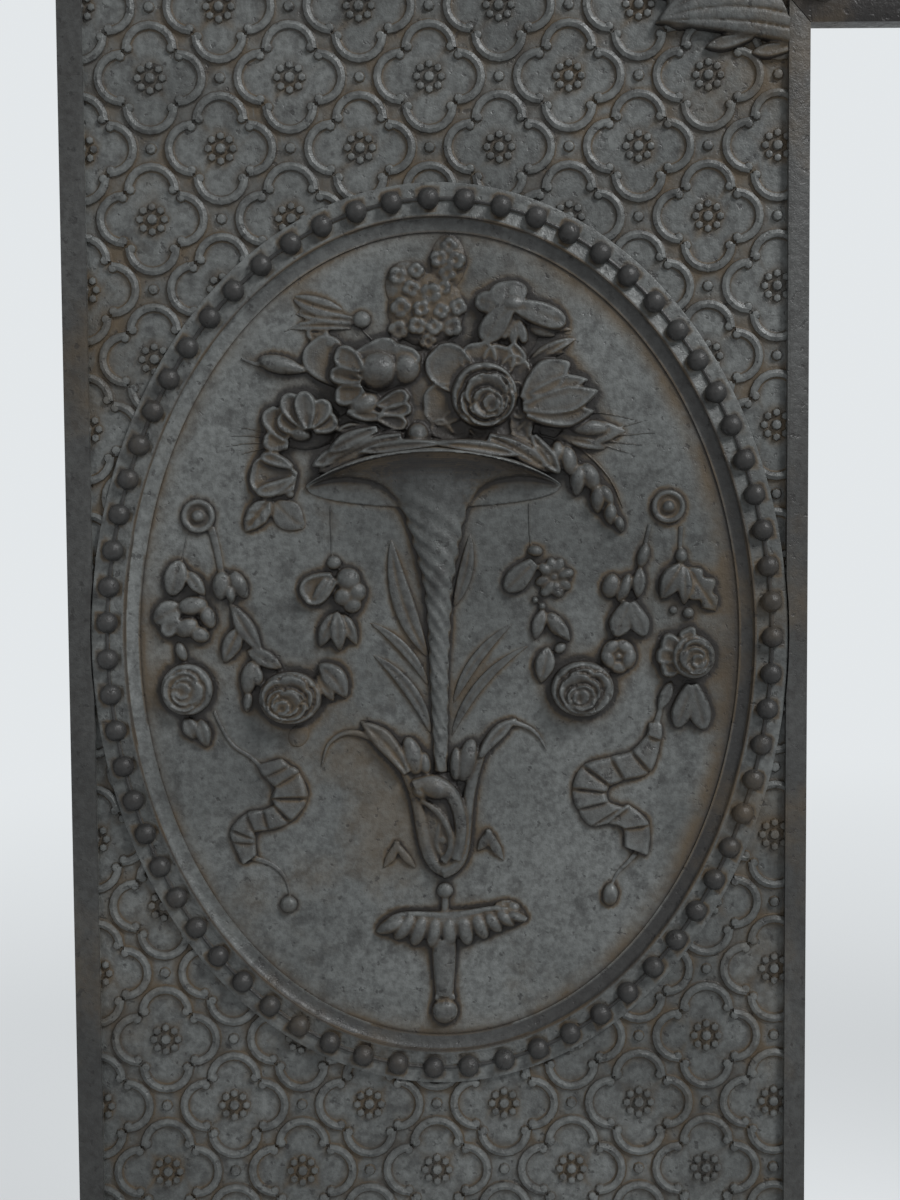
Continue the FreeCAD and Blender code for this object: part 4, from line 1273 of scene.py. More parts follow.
for stalk in right_fern:
    cord(bouquet, stalk, 0.6, 0.3)
fern_leaf = ((560, 438), (607, 450))
leaf(bouquet, *fern_leaf, 13, 1.6, groove=0.6, bend=-14)

# %% Leaves over the rim, and the bells that hang beside it
rim_heap = (418, 437)
bud(bouquet, *rim_heap, 27, 31, 10.5, 0, 0)
rim_leaves = (
    ((402, 438), (318, 474), 22, 10.5, 3.0, 24), ((378, 430), (328, 454), 20, 8.5, 6.0, 14),
    ((440, 445), (356, 454), 17, 11.5, 9.0, 12), ((438, 445), (522, 457), 18, 11.8, 8.5, -12),
    ((488, 438), (551, 474), 22, 9.5, 3.0, -22),
)
for base, tip, width, low, high, bend in rim_leaves:
    lay(bouquet, base, tip, width, low, high, dish=-1.4, lip=0.5, fold=0.9, taper=0.6, bend=bend)
rim_folds = (
    ((380, 432), (335, 431), 15, 18, 0.3), ((364, 438), (321, 473), 27, -20, 1.0),
    ((400, 432), (358, 458), 28, -14, 0.8), ((352, 442), (312, 466), 18, -24, 0.5),
    ((508, 436), (553, 467), 25, 16, 0.8), ((466, 442), (524, 450), 22, 12, 0.5),
    ((436, 446), (482, 447), 18, 6, 0.4), ((532, 436), (560, 474), 20, 14, 0.6),
)
for base, tip, width, bend, fold in rim_folds:
    lay(bouquet, base, tip, width, 5.4, 4.0, lip=0.8, fold=fold, taper=0.6, bend=bend)
left_curl = (
    (lay, (296, 482), (250, 472), 44, 1.8, 2.4, dict(dish=1.2, lip=1.1)),
    (lay, (294, 478), (256, 492), 16, 2.4, 3.0, dict(lip=0.7, bend=-40)),
    (lay, (292, 468), (260, 457), 15, 2.6, 3.0, dict(lip=0.7, bend=30)),
    (pellet, 290, 494, 9, 2.2),
    (leaf, (271, 498), (244, 533), 23, 1.7, dict(groove=0.9, veins=4)),
    (leaf, (275, 500), (306, 528), 31, 0.6, dict(groove=0.4, bend=30, edge=0.5)),
    (cord, ((539, 435), (562, 440), (582, 449), (602, 468), (615, 486), (623, 508)), 0.7, 0.45),
)
carve(bouquet, left_curl)
bells = (
    (556, 455, 30, 17, -100), (568, 461, 36, 21, -70), (578, 480, 34, 19, -98), (590, 478, 34, 21, -62),
    (598, 499, 30, 18, -92), (606, 496, 26, 15, -60), (610, 514, 24, 15, -84), (619, 524, 18, 11, -70),
)
for px, py, length, width, angle in bells:
    bud(bouquet, px, py, length, width, 4.8, angle, 0.45)
print("bouquet before casting:", len(bouquet.faces), "faces")

# %% [markdown]
# ## The trumpet vase
# The vase is half of a trumpet seen from below: a fluted stem that flares into a wide lip. The lip
# stands out from the field and arches upward, so that its shaded underside shows, and its far edge
# is only a thin step on the field. Rings of vertices are widened, pushed forward and lifted along
# the flare, then bridged. Its fluting twists round the stem like a rope.

# %% Trumpet and lip
lip_place, lip_half = (433.5, 487), 127.5
vase_rows = [
    (441, 772, 7.5), (440.5, 735, 8.0), (439.5, 700, 9.0), (439, 660, 10.0), (439, 620, 12.0),
    (438.5, 587, 14.5), (437.5, 560, 20.0), (436, 533, 26.0), (435, 515, 31.0), (434.5, 505, 35.5),
    (434, 497, 41.0), (433.8, 490, 47.5), (433.7, 486, 53.0), (433.6, 482.5, 61.0), (433.5, 480, 71.0),
    (433.5, 478, 87.0), (433.5, 479.5, 103.0), (433.5, 483, 117.0), (*lip_place, lip_half),
]
lip_rings = ((128.0, 1.01, 0.5), (126.4, 0.97, 1.0), (118.0, 0.82, 2.4), (104.0, 0.52, 4.6))
far_lip, far_half, far_tall, far_rise = (433.5, 488), 126, 19.5, 0.75
lip_proud, lip_lift, lip_arch = 13.0, 13.2, 1.7
stem_proud, stem_round = 5.2, 0.85
flare_start, flare_curve = 30, 0.8
ring_pitch, around = 3, 64
flutes, twist, flute_depth, flute_end = 6, 0.34, 0.10, 48
vase_sink, back_bulge = 0.4, 0.04


def vase_ring(px, py, half, spread, proud, above=0.0, fluting=None):
    """A half ring of the trumpet: spread from 0 on the stem to 1 at the lip lifts its front."""
    centre = spot(px, py, field_z)
    ring = bmesh.ops.create_circle(vase, segments=around, radius=1)["verts"]
    for v in ring:
        side, front = v.co.x, max(v.co.y, -back_bulge)
        swell = 1 + (fluting(math.atan2(v.co.y, v.co.x)) if fluting else 0.0)
        v.co = Vector((
            centre.x + side * half * pixel * swell,
            centre.y + lip_lift * max(front, 0) ** lip_arch * spread + above,
            field_z - vase_sink + front * proud * swell,
        ))
    return list({e for v in ring for e in v.link_edges})


vase = bmesh.new()
rings = []
for (x0, y0, half0), (x1, y1, half1) in zip(vase_rows, vase_rows[1:]):
    count = max(round(abs(y1 - y0) / ring_pitch), 1)
    for step in range(count):
        share = step / count
        px, py = x0 + (x1 - x0) * share, y0 + (y1 - y0) * share
        half = half0 + (half1 - half0) * share
        spread = clamp((half - flare_start) / (lip_half - flare_start)) ** flare_curve
        proud = min(half * pixel * stem_round, stem_proud) + (lip_proud - stem_proud) * spread
        depth = flute_depth * max(1 - half / flute_end, 0)
        rings.append(vase_ring(
            px, py, half, spread, proud, 0.0, lambda a, y=py, d=depth: d * math.sin(flutes * a + twist * y)
        ))
rings.append(vase_ring(*lip_place, lip_half, 1.0, lip_proud))
# The lip's rounded edge, and the inside that falls back under the flowers
for half, share, above in lip_rings:
    rings.append(vase_ring(*lip_place, half, 1.0, lip_proud * share, above))
for one, other in zip(rings, rings[1:]):
    bmesh.ops.bridge_loops(vase, edges=one + other)
close_holes(vase)

# The far side of the lip: a flat oval that stands a little above the field
far = bmesh.new()
bmesh.ops.create_cone(far, cap_ends=True, segments=64, radius1=1, radius2=1, depth=2)
bmesh.ops.scale(far, vec=(far_half * pixel, far_tall * pixel, far_rise), verts=far.verts)
put(vase, far, *far_lip)

# %% Calyx: two horns that meet in a loop, and their leaves
calyx = bmesh.new()
left_horn = (
    (322, 766), (325, 748), (334, 738), (346, 732), (360, 733), (375, 739), (389, 749), (400, 763),
    (410, 780), (418, 804), (422, 830), (428, 854), (438, 868), (450, 870),
)
right_horn = (
    (547, 751), (540, 736), (527, 726), (512, 722), (498, 727), (487, 740), (479, 758), (472, 780),
    (467, 804), (465, 830), (462, 852), (454, 867), (442, 870),
)
calyx_cups = (
    (cord, left_horn, 0.5, 3.4, 0.3),
    (cord, right_horn, 0.5, 3.8, 0.3),
    (bud, 443, 824, 46, 112, 2.4, 0, 0),
    (lay, (407, 772), (360, 721), 21, 4.4, 2.0, dict(lip=0.4, fold=0.5, taper=0.8, bend=30)),
    (lay, (480, 756), (517, 718), 15, 3.8, 1.8, dict(lip=0.4, fold=0.3, taper=0.8, bend=-30)),
    (bud, 413, 757, 44, 23, 4.8, 106, 0.1),
    (bud, 425, 764, 26, 13, 4.2, 96, 0.1),
    (bud, 467, 760, 46, 22, 4.8, 76, 0.1),
    (bud, 456, 764, 36, 14, 4.2, 88, 0.1),
)
carve(calyx, calyx_cups)
curled_tongue = ((415, 786), (427, 780), (441, 783), (453, 794), (460, 812), (462, 836), (456, 858))
calyx_tongue = (
    (cord, curled_tongue, 3.4, 2.4, 2.4),
    (bud, 435, 787, 46, 25, 6.6, -14, 0.2),
    (bud, 420, 791, 22, 15, 5.6, -50, 0.4),
    (cord, ((421, 799), (432, 805), (444, 818), (452, 836), (451, 852), (443, 860)), 1.0, 2.0, 2.4),
    (cord, ((440, 822), (436, 836), (437, 850), (444, 856)), 0.6, 0.6, 2.2),
    (pellet, 443, 840, 9, 1.0, 2.0),
)
carve(calyx, calyx_tongue)
calyx_tips = (
    ((398, 841), (383, 868), 10, -20), ((395, 841), (417, 869), 9, 16),
    ((490, 830), (477, 851), 11, -16), ((487, 829), (504, 861), 11, 14),
)
for base, tip, width, bend in calyx_tips:
    lay(calyx, base, tip, width, 2.2, 1.0, taper=0.9, bend=bend)
calyx_foot = (
    (bud, 445, 890, 17, 18, 2.8, 90, 0.2),
    (cord, ((445, 894), (445, 918)), 1.6, 1.9),
)
carve(calyx, calyx_foot)

# %% The gadrooned dish and its stem
dish_pods = (
    (392, 924, 36, 17, 205), (405, 926, 34, 20, 232), (419, 929, 36, 21, 250), (434, 931, 36, 20, 262),
    (449, 931, 35, 21, 271), (465, 929, 34, 21, 282), (480, 925, 31, 20, 294), (493, 921, 28, 18, 308),
    (505, 917, 26, 16, 322), (516, 915, 24, 12, 338),
)
dish_bowl = (
    (bud, 452, 922, 146, 27, 3.4, 3, 0),
    (pellet, 513, 909, 16, 2.6),
)
carve(calyx, dish_bowl)
for px, py, length, width, angle in dish_pods:
    bud(calyx, px, py, length, width, 5.2, angle, 0.3)
dish_edge = (
    (cord, ((380, 930), (388, 919), (402, 913), (424, 913), (448, 915), (472, 911), (494, 907),
     (512, 909), (526, 919)), 1.2, 1.2, 1.6),
    (cord, ((496, 906), (506, 901), (515, 904), (525, 915)), 1.5, 0.9),
)
carve(calyx, dish_edge)
stem_rings = ((0, 5.3), (12, 4.6), (23, 3.7))
stem_top, stem_flat = (444, 938), 0.75
stem = bmesh.new()
for drop, half in stem_rings:
    bmesh.ops.create_circle(stem, segments=24, radius=half, matrix=Matrix.Translation((0, 0, drop)))
bmesh.ops.bridge_loops(stem, edges=stem.edges[:])
close_holes(stem)
bmesh.ops.rotate(stem, cent=(0, 0, 0), matrix=Matrix.Rotation(math.pi / 2, 3, "X"), verts=stem.verts)
bmesh.ops.scale(stem, vec=(1, 1, stem_flat), verts=stem.verts)
put(calyx, stem, *stem_top)
stem_end = (
    (cord, ((435, 996), (445, 998), (455, 996)), 1.2, 1.2, 1.0),
    (pellet, 445, 1010, 27, 4.6),
)
carve(calyx, stem_end)

# %% Thin grass blades beside the stem
grass = (
    ((430, 660), (391, 535), 22, -30), ((430, 690), (364, 620), 11, 44),
    ((432, 738), (368, 652), 14, 46), ((452, 610), (470, 530), 15, 26),
    ((452, 708), (518, 620), 12, -40), ((450, 742), (536, 642), 11, -50),
)
for base, tip, width, bend in grass:
    leaf(calyx, base, tip, width, 0.7, groove=0.5, bend=bend, edge=0.6)

# %% [markdown]
# ## Garlands and ribbons
# Two paterae hold garlands of roses, blossoms and leaves, and each ends in a pleated ribbon. A
# patera is a profile spun once round. A ribbon is a row of panels between folds, pairs of edge
# points, and each panel is a flat cushion, so that a crease is left at each fold.

# %% Paterae and ribbons
patera_profile = (
    (0, 3.3), (0.16, 3.1), (0.30, 2.4), (0.38, 1.4), (0.50, 1.0), (0.64, 1.2), (0.76, 2.0), (0.86, 2.3),
    (0.95, 1.8), (1.0, 0.9), (1.02, -root),
)
patera_places, patera_across = ((198.3, 516.3), (668.0, 506.6)), 34
ribbon_high, ribbon_tilt, crease_round = 2.0, 1.5, 2.0
ribbon_edge_round, ribbon_edge_foot = 1.2, 0.45


def patera(bm, px, py, across):
    """A round boss: shares of the radius and heights, spun once round."""
    radius = across * pixel / 2
    disc = bmesh.new()
    verts = [disc.verts.new((share * radius, 0, z)) for share, z in patera_profile]
    edges = [disc.edges.new(pair) for pair in zip(verts, verts[1:])]
    bmesh.ops.spin(
        disc, geom=verts + edges, cent=(0, 0, 0), axis=(0, 0, 1), angle=2 * math.pi, steps=32, use_merge=True
    )
    bmesh.ops.remove_doubles(disc, verts=disc.verts, dist=0.01)
    close_holes(disc)
    put(bm, disc, px, py)


def eased(before, start, end, after, s):
    """A point between start and end on a smooth curve that also heeds the points before and after."""
    slope_start, slope_end = (end - before) / 2, (after - start) / 2
    bow = s * (1 - s)
    return start.lerp(end, s * s * (3 - 2 * s)) + bow * (1 - s) * slope_start - bow * s * slope_end


def ribbon(bm, folds):
    """A pleated ribbon: each fold is a pair of edge pixels and the share by which its crease is sunk."""
    edges = [[spot(*fold[side], field_z) for fold in folds] for side in (0, 1)]
    edges = [[points[0], *points, points[-1]] for points in edges]
    for i, (first, second) in enumerate(zip(folds, folds[1:])):
        panel = bmesh.new()
        bmesh.ops.create_grid(panel, x_segments=14, y_segments=10, size=1)
        run = (edges[0][i + 1] + edges[1][i + 1] - edges[0][i + 2] - edges[1][i + 2]).length / 2
        breadth = (edges[0][i + 1] - edges[1][i + 1]).length
        for v in panel.verts:
            s, t = (v.co.x + 1) / 2, (v.co.y + 1) / 2
            one, other = (eased(*points[i:i + 4], s) for points in edges)
            where = one.lerp(other, t)
            sunk = first[2] * (1 - rounded(run * s, crease_round))
            sunk += second[2] * (1 - rounded(run * (1 - s), crease_round))
            level = ribbon_high * (1 - sunk) + ribbon_tilt * (s - 0.5)
            level *= soft_edge(breadth * min(t, 1 - t), ribbon_edge_round, ribbon_edge_foot)
            v.co = Vector((where.x, where.y, level))
        body(panel)
        bmesh.ops.translate(panel, vec=(0, 0, field_z), verts=panel.verts)
        join(bm, panel)


garlands = bmesh.new()
for px, py in patera_places:
    patera(garlands, px, py, patera_across)

# %% Left garland, outer string
left_outer_string = (
    (cord, ((188, 533), (184, 550), (181, 566)), 0.5, 0.4),
    (leaf, (180, 560), (172, 597), 24, 2.6, dict(groove=0.4, point=0.6)),
    (leaf, (186, 570), (206, 597), 15, 2.4, dict(groove=0.5)),
    (leaf, (182, 606), (154, 622), 27, 2.8, dict(groove=0.5, point=0.55)),
    (bud, 193, 606, 32, 21, 4.6, 8, 0.1),
    (bud, 208, 617, 26, 17, 3.8, -70, 0.1),
    (bud, 187, 627, 28, 22, 4.2, 20, 0.1),
    (bud, 200, 634, 22, 18, 3.8, -30, 0.1),
    (lay, (180, 620), (163, 634), 18, 3.4, 2.8, dict(lip=0.5)),
    (bud, 182, 653, 24, 12, 2.6, -70, 0.5),
    (rose, 188, 689, 52, 5.8, 90, (-5, -3), 1.0, 4, 0.95),
    (leaf, (186, 716), (196, 740), 17, 2.6, dict(groove=0.4)),
    (leaf, (200, 718), (208, 748), 16, 2.8, dict(groove=0.4)),
)
carve(garlands, left_outer_string)

# %% Left garland, inner string
left_inner_string = (
    (cord, ((211, 528), (217, 546), (221, 572)), 1.9, 1.6, 0.0, 0.5),
    (bud, 222, 586, 30, 21, 3.8, -95, 0.3),
    (bud, 239, 585, 32, 18, 3.2, -62, 0.3),
    (bud, 231, 594, 20, 12, 4.0, -80, 0.5),
    (cord, ((230, 600), (232, 614), (238, 636)), 0.9, 0.7),
    (leaf, (232, 604), (263, 654), 19, 1.8, dict(groove=0.6, bend=8)),
    (leaf, (240, 626), (224, 664), 20, 1.8, dict(groove=0.6)),
    (leaf, (246, 650), (284, 671), 18, 1.2, dict(groove=0.4, bend=-16)),
    (bud, 250, 678, 36, 20, 3.8, -100, 0.3),
    (leaf, (254, 662), (262, 690), 12, 2.8, dict(groove=0.3)),
    (bud, 248, 702, 22, 11, 3.0, -95, 0.5),
    (rose, 291, 697, 63, 9.2, 30, (-8, -11), 0.84, 5, 0.70),
    (leaf, (318, 664), (346, 699), 24, 3.4, dict(groove=0.5, bend=-44)),
    (leaf, (316, 674), (334, 702), 16, 3.0, dict(groove=0.4, bend=-20)),
    (bud, 332, 676, 24, 18, 3.8, -40, 0.2),
    (bud, 299, 735, 28, 22, 0.9, 60, 0.2, -0.2),
)
carve(garlands, left_inner_string)

# %% Left drop
left_drop = (
    (cord, ((331, 505), (331, 530), (332, 558)), 0.55, 0.5),
    (pellet, 334, 563, 15, 2.6),
    (lay, (334, 578), (302, 598), 32, 2.8, 3.2, dict(dish=0.7, lip=0.9)),
    (leaf, (332, 572), (310, 606), 15, 3.4, dict(groove=0.4, bend=-20)),
)
carve(garlands, left_drop)
left_berries = (
    (348, 580, 26, 4.8), (356, 592, 22, 4.2), (344, 596, 22, 4.6), (352, 604, 20, 4.0),
)
for px, py, across, high in left_berries:
    pellet(garlands, px, py, across, high)
left_drop_leaves = (
    (leaf, (334, 612), (320, 648), 17, 2.6, dict(groove=0.4)),
    (leaf, (337, 610), (340, 652), 18, 3.6, dict(groove=0.4)),
    (leaf, (342, 612), (357, 646), 14, 2.6, dict(groove=0.4)),
)
carve(garlands, left_drop_leaves)

# %% Right drop and inner string
right_drop = (
    (cord, ((529, 503), (529, 525), (531, 547)), 0.55, 0.5),
    (bud, 535, 551, 16, 12, 2.8, -10, 0.0),
    (lay, (534, 562), (505, 591), 25, 3.0, 2.8, dict(dish=-0.6, fold=0.6, taper=0.3)),
    (blossom, 554, 577, 40, 8, 2.8, 14, 0.62),
)
carve(garlands, right_drop)
right_berries = (
    (545, 592, 11), (558, 592, 12), (535, 600, 7), (542, 606, 8),
)
for px, py, across in right_berries:
    pellet(garlands, px, py, across, 2.4)
right_inner_string = (
    (leaf, (544, 608), (535, 641), 14, 2.0, dict(groove=0.4, bend=14)),
    (bud, 557, 626, 34, 18, 3.4, -52, 0.3),
    (leaf, (552, 616), (570, 642), 13, 3.0, dict(groove=0.4)),
    (bud, 560, 648, 14, 11, 2.6, 40, 0.1),
    (leaf, (548, 646), (541, 684), 21, 2.2, dict(groove=0.5)),
    (rose, 582, 688, 63, 9.2, 150, (-4, -11), 0.88, 5, 0.72),
    (blossom, 618, 656, 36, 5, 3.8, 54, 0.9),
    (lay, (628, 602), (615, 637), 24, 3.8, 3.0, dict(dish=-0.6, fold=0.3, taper=0.5)),
    (lay, (630, 602), (645, 637), 21, 4.2, 3.4, dict(dish=-0.6, fold=0.3, taper=0.6)),
    (bud, 611, 586, 26, 20, 3.4, 80, 0.1),
    (bud, 624, 588, 32, 14, 3.8, 70, 0.1),
    (cord, ((650, 524), (645, 545), (640, 566)), 1.1, 1.1, 0.0, 0.8),
    (bud, 643, 556, 26, 13, 3.0, -105, 0.2),
    (leaf, (640, 566), (637, 600), 14, 2.4, dict(groove=0.4)),
)
carve(garlands, right_inner_string)

# %% Right outer string
right_outer_string = (
    (cord, ((681, 526), (680, 540), (680, 552)), 1.2, 1.0, 0.0, 0.8),
    (bud, 681, 556, 16, 13, 3.0, -90, 0.1),
    (leaf, (682, 562), (660, 600), 24, 2.8, dict(groove=0.7)),
    (leaf, (684, 564), (684, 606), 16, 3.2, dict(groove=0.5)),
    (leaf, (686, 566), (716, 612), 34, 2.0, dict(groove=0.6, lobes=3, bite=0.45)),
    (pellet, 688, 613, 12, 2.6),
    (pellet, 673, 610, 9, 1.8),
)
carve(garlands, right_outer_string)
right_rose_petals = (
    ((680, 646), (660, 640)), ((678, 656), (655, 655)), ((682, 664), (660, 670)),
    ((690, 640), (684, 628)),
)
for base, tip in right_rose_petals:
    lay(garlands, base, tip, 20, 3.8, 2.8, lip=0.7, dish=0.3)
right_outer_end = (
    (rose, 692, 656, 44, 7.2, 250, (4, -5), 1.0, 4, 0.85),
    (leaf, (672, 680), (658, 712), 13, 1.6, dict(groove=0.4)),
    (lay, (690, 684), (676, 728), 22, 3.2, 2.6, dict(dish=-0.4, fold=0.4, taper=0.4)),
    (lay, (692, 684), (704, 730), 24, 3.4, 2.6, dict(dish=-0.4, fold=0.4, taper=0.4)),
    (bud, 690, 692, 18, 16, 3.6, -90, 0.2),
)
carve(garlands, right_outer_end)

# %% Ribbons with their tassels
left_ribbon_cord = ((214, 711), (222, 730), (234, 748), (250, 756), (258, 764))
cord(garlands, left_ribbon_cord, 0.9, 1.1, 0.0, 0.7)
left_ribbon = (
    ((256, 765), (282, 758), 0.0), ((263.5, 777), (289.5, 764.5), 0.5),
    ((274, 787), (299.5, 771.5), 0.6), ((271, 798), (308, 798), 0.9), ((274, 804), (291, 822), 0.9),
    ((264, 809), (270, 830), 0.35), ((247, 812), (256, 832), 0.25), ((231, 828), (256, 838), 0.2),
    ((232, 841), (256, 843), 0.5), ((243, 864), (257, 854), 0.1),
)
ribbon(garlands, left_ribbon)
left_tassel = (
    (cord, ((252, 858), (266, 861), (280, 870), (289, 884), (290, 898)), 1.5, 0.7, 0.0, 0.6),
    (pellet, 289, 904, 18, 3.2),
)
carve(garlands, left_tassel)
right_ribbon = (
    ((648, 722), (662, 724), 0.0), ((646, 734), (661, 740), 0.2), ((631, 750), (650, 772), 0.7),
    ((611, 756), (625, 780), 0.35), ((583, 765), (611, 786), 0.8), ((572, 788), (607, 792), 0.9),
    ((577, 809), (609, 801), 0.7), ((590, 826), (622, 806), 0.5), ((606, 824), (630, 805), 0.4),
    ((622, 828), (649, 824), 0.2), ((624, 846), (648, 855), 0.3),
)
ribbon(garlands, right_ribbon)
right_tassel = (
    (cord, ((664, 690), (662, 706), (656, 724)), 1.0, 1.6, 0.0, 0.7),
    (cord, ((636, 853), (628, 863), (616, 873), (612, 884)), 1.3, 0.8, 0.0, 0.8),
    (bud, 610, 894, 24, 16, 3.2, -95, 0.0),
)
carve(garlands, right_tassel)
print("garlands before casting:", len(garlands.faces), "faces")

# %% [markdown]
# ## Casting the relief
# In the mould all these shapes become one skin of iron, with softened edges where they meet. A
# voxel remesh does just that: it melts the overlapping shapes together at a chosen grain. A pass
# of smoothing rounds the grain off, and what lies under the field is cut away and closed.

# %% Melt the shapes into one skin
grain, cut_below = 0.5, 0.35


def melt(bm, name, floor_z):
    """Melts a bmesh of overlapping shapes into one skin, cut off a little below floor_z."""
    mesh = bpy.data.meshes.new(name)
    bm.to_mesh(mesh)
    bm.free()
    holder = bpy.data.objects.new(name, mesh)
    scene.collection.objects.link(holder)
    remesh = holder.modifiers.new("skin", "REMESH")
    remesh.mode = "VOXEL"
    remesh.voxel_size = grain
    bpy.context.view_layer.update()
    depsgraph = bpy.context.evaluated_depsgraph_get()
    skin = bpy.data.meshes.new_from_object(holder.evaluated_get(depsgraph))
    melted = bmesh.new()
    melted.from_mesh(skin)
    bpy.data.objects.remove(holder)
    bpy.data.meshes.remove(mesh)
    bpy.data.meshes.remove(skin)
    bmesh.ops.smooth_vert(
        melted, verts=melted.verts, factor=0.5, use_axis_x=True, use_axis_y=True, use_axis_z=True
    )
    close_cut(melted, (0, 0, floor_z - cut_below), (0, 0, -1))
    bmesh.ops.recalc_face_normals(melted, faces=melted.faces)
    return melted


relief = {}
for part, shapes in (("bouquet", bouquet), ("vase", vase), ("calyx", calyx), ("garlands", garlands)):
    relief[part] = melt(shapes, part, field_z)
    print(part, "has", len(relief[part].faces), "faces")

# %% [markdown]
# ## Where soot, damp and painted shade stay
# Rust and dirt stay in what lies lower than its surroundings, and there the colour is darkened as
# painted shade too. So the medallion's heights are drawn on a map, the map is blurred, and a vertex
# that lies below the blurred height is in a recess: a narrow blur finds the creases between petals,
# wide ones the field around the flowers. Faces that look down are darker as well, a painted shade
# under the overhangs. The results are the attributes `recess` and `grime_and_shade`. The beads, the
# cove and the edge of the field get their own shares of them.

# %% Map of heights over the medallion
map_step, map_edge = 0.6, 8.0
map_low = (oval_x - oval_half - map_edge, oval_z - oval_tall - map_edge)
columns = int(2 * (oval_half + map_edge) / map_step)
rows = int(2 * (oval_tall + map_edge) / map_step)
map_x = map_low[0] + (np.arange(columns) + 0.5) * map_step
map_y = map_low[1] + (np.arange(rows) + 0.5) * map_step
across, up = np.meshgrid(map_x - oval_x, map_y - oval_z)
size = np.maximum(np.hypot(across / oval_half, up / oval_tall), 1e-6)
inset = np.hypot(across, up) * (1 / size - 1)
profile = rim[2:] + cove[1:] + field
heights = np.interp(inset, [depth for depth, _ in profile], [height for _, height in profile])
heights[inset < 0] = 0.0
for place in bead_places:
    off = np.hypot(across + oval_x - place.x, up + oval_z - place.y)
    cap = np.sqrt(np.maximum(bead_radius**2 - off**2, 0)) + band_rise + bead_lift
    heights = np.where(off < bead_radius, np.maximum(heights, cap), heights)


def map_cells(points):
    """The rows and columns of the map under some points."""
    column = np.clip(((points[:, 0] - map_low[0]) / map_step).astype(int), 0, columns - 1)
    row = np.clip(((points[:, 1] - map_low[1]) / map_step).astype(int), 0, rows - 1)
    return row, column


for shape in relief.values():
    points = np.array([v.co for v in shape.verts])
    np.maximum.at(heights, map_cells(points), points[:, 2])


def blurred(field_map, reach):
    """The map's mean over a square, twice, by running sums."""
    radius = max(round(reach / map_step), 1)
    for _ in range(2):
        for axis in (0, 1):
            pad = [(0, 0), (0, 0)]
            pad[axis] = (radius + 1, radius)
            total = np.cumsum(np.pad(field_map, pad, mode="edge"), axis=axis)
            far = np.take(total, range(2 * radius + 1, total.shape[axis]), axis=axis)
            near = np.take(total, range(0, total.shape[axis] - 2 * radius - 1), axis=axis)
            field_map = (far - near) / (2 * radius + 1)
    return field_map


narrow_reach, wide_reach, broad_reach = 1.3, 4.5, 9.0
narrow, wide, broad = (blurred(heights, reach) for reach in (narrow_reach, wide_reach, broad_reach))
crease_depth, hollow_depth, halo_depth, top_height = 1.1, 6.0, 3.0, 0.8
crease_share, hollow_share, halo_share, soil_share = 0.85, 0.85, 0.25, 0.4
rubbed_and_highlit, crease_shade, grime_and_shade_limit = 0.75, 1.8, 0.95
lip_from, lip_over = 1.5, 6.0


def mark_recess(bm, undersides, soil=0.0, shade=0.0):
    """Writes recess and grime_and_shade on a shape of the medallion.

    undersides is the share of recess on faces that look down, a painted shade. soil lies on the whole
    shape, darker in its creases as painted shade, but is taken off its tops as rubbed wear and a
    painted highlight, and shade paints a shade on what looks down high above the field.
    """
    bm.normal_update()
    points = np.array([v.co for v in bm.verts])
    cells = map_cells(points)
    creases = np.clip((narrow[cells] - points[:, 2]) / crease_depth, 0, 1)
    hollows = np.clip((wide[cells] - points[:, 2]) / hollow_depth, 0, 1)
    down = np.clip([-v.normal.y for v in bm.verts], 0, 1)
    tops = np.clip((points[:, 2] - narrow[cells]) / top_height, 0, 1)
    halo = np.clip((broad[cells] - points[:, 2]) / halo_depth, 0, 1)
    # Rust where damp stays, and painted shade: creases, hollows and faces that look down are darkened
    damp = crease_share * creases + hollow_share * hollows + halo_share * halo
    damp = np.clip(damp + undersides * down + soil_share * soil * (1 - tops), 0, 1)
    under_lip = down * np.clip((points[:, 2] - lip_from) / lip_over, 0, 1)
    # Painted shade under the lip and in creases, and a painted highlight on the tops
    soil_and_shade = soil * (1 - rubbed_and_highlit * tops + crease_shade * creases) + shade * under_lip
    recess, grime_and_shade = dirt_and_shade_layers(bm)
    for v, rust, soot_and_shade in zip(bm.verts, damp, np.clip(soil_and_shade, 0, grime_and_shade_limit)):
        v[recess] = rust
        v[grime_and_shade] = soot_and_shade


# %% Medallions
bead_recess, bead_share, bead_grime = 0.3, 0.4, 0.84
medallion_back = 0.3
cove_recess, cove_edge_recess, cove_edge = 0.10, 0.62, 0.2
# The cove's painted shade: a base share, more to the right, and more at its top and bottom
cove_shade_base, cove_right_shade, cove_ends_shade, cove_bottom_shade = 0.16, 0.55, 0.30, 0.18
damp_reach, damp_all, damp_right = 9, 0.14, 0.30

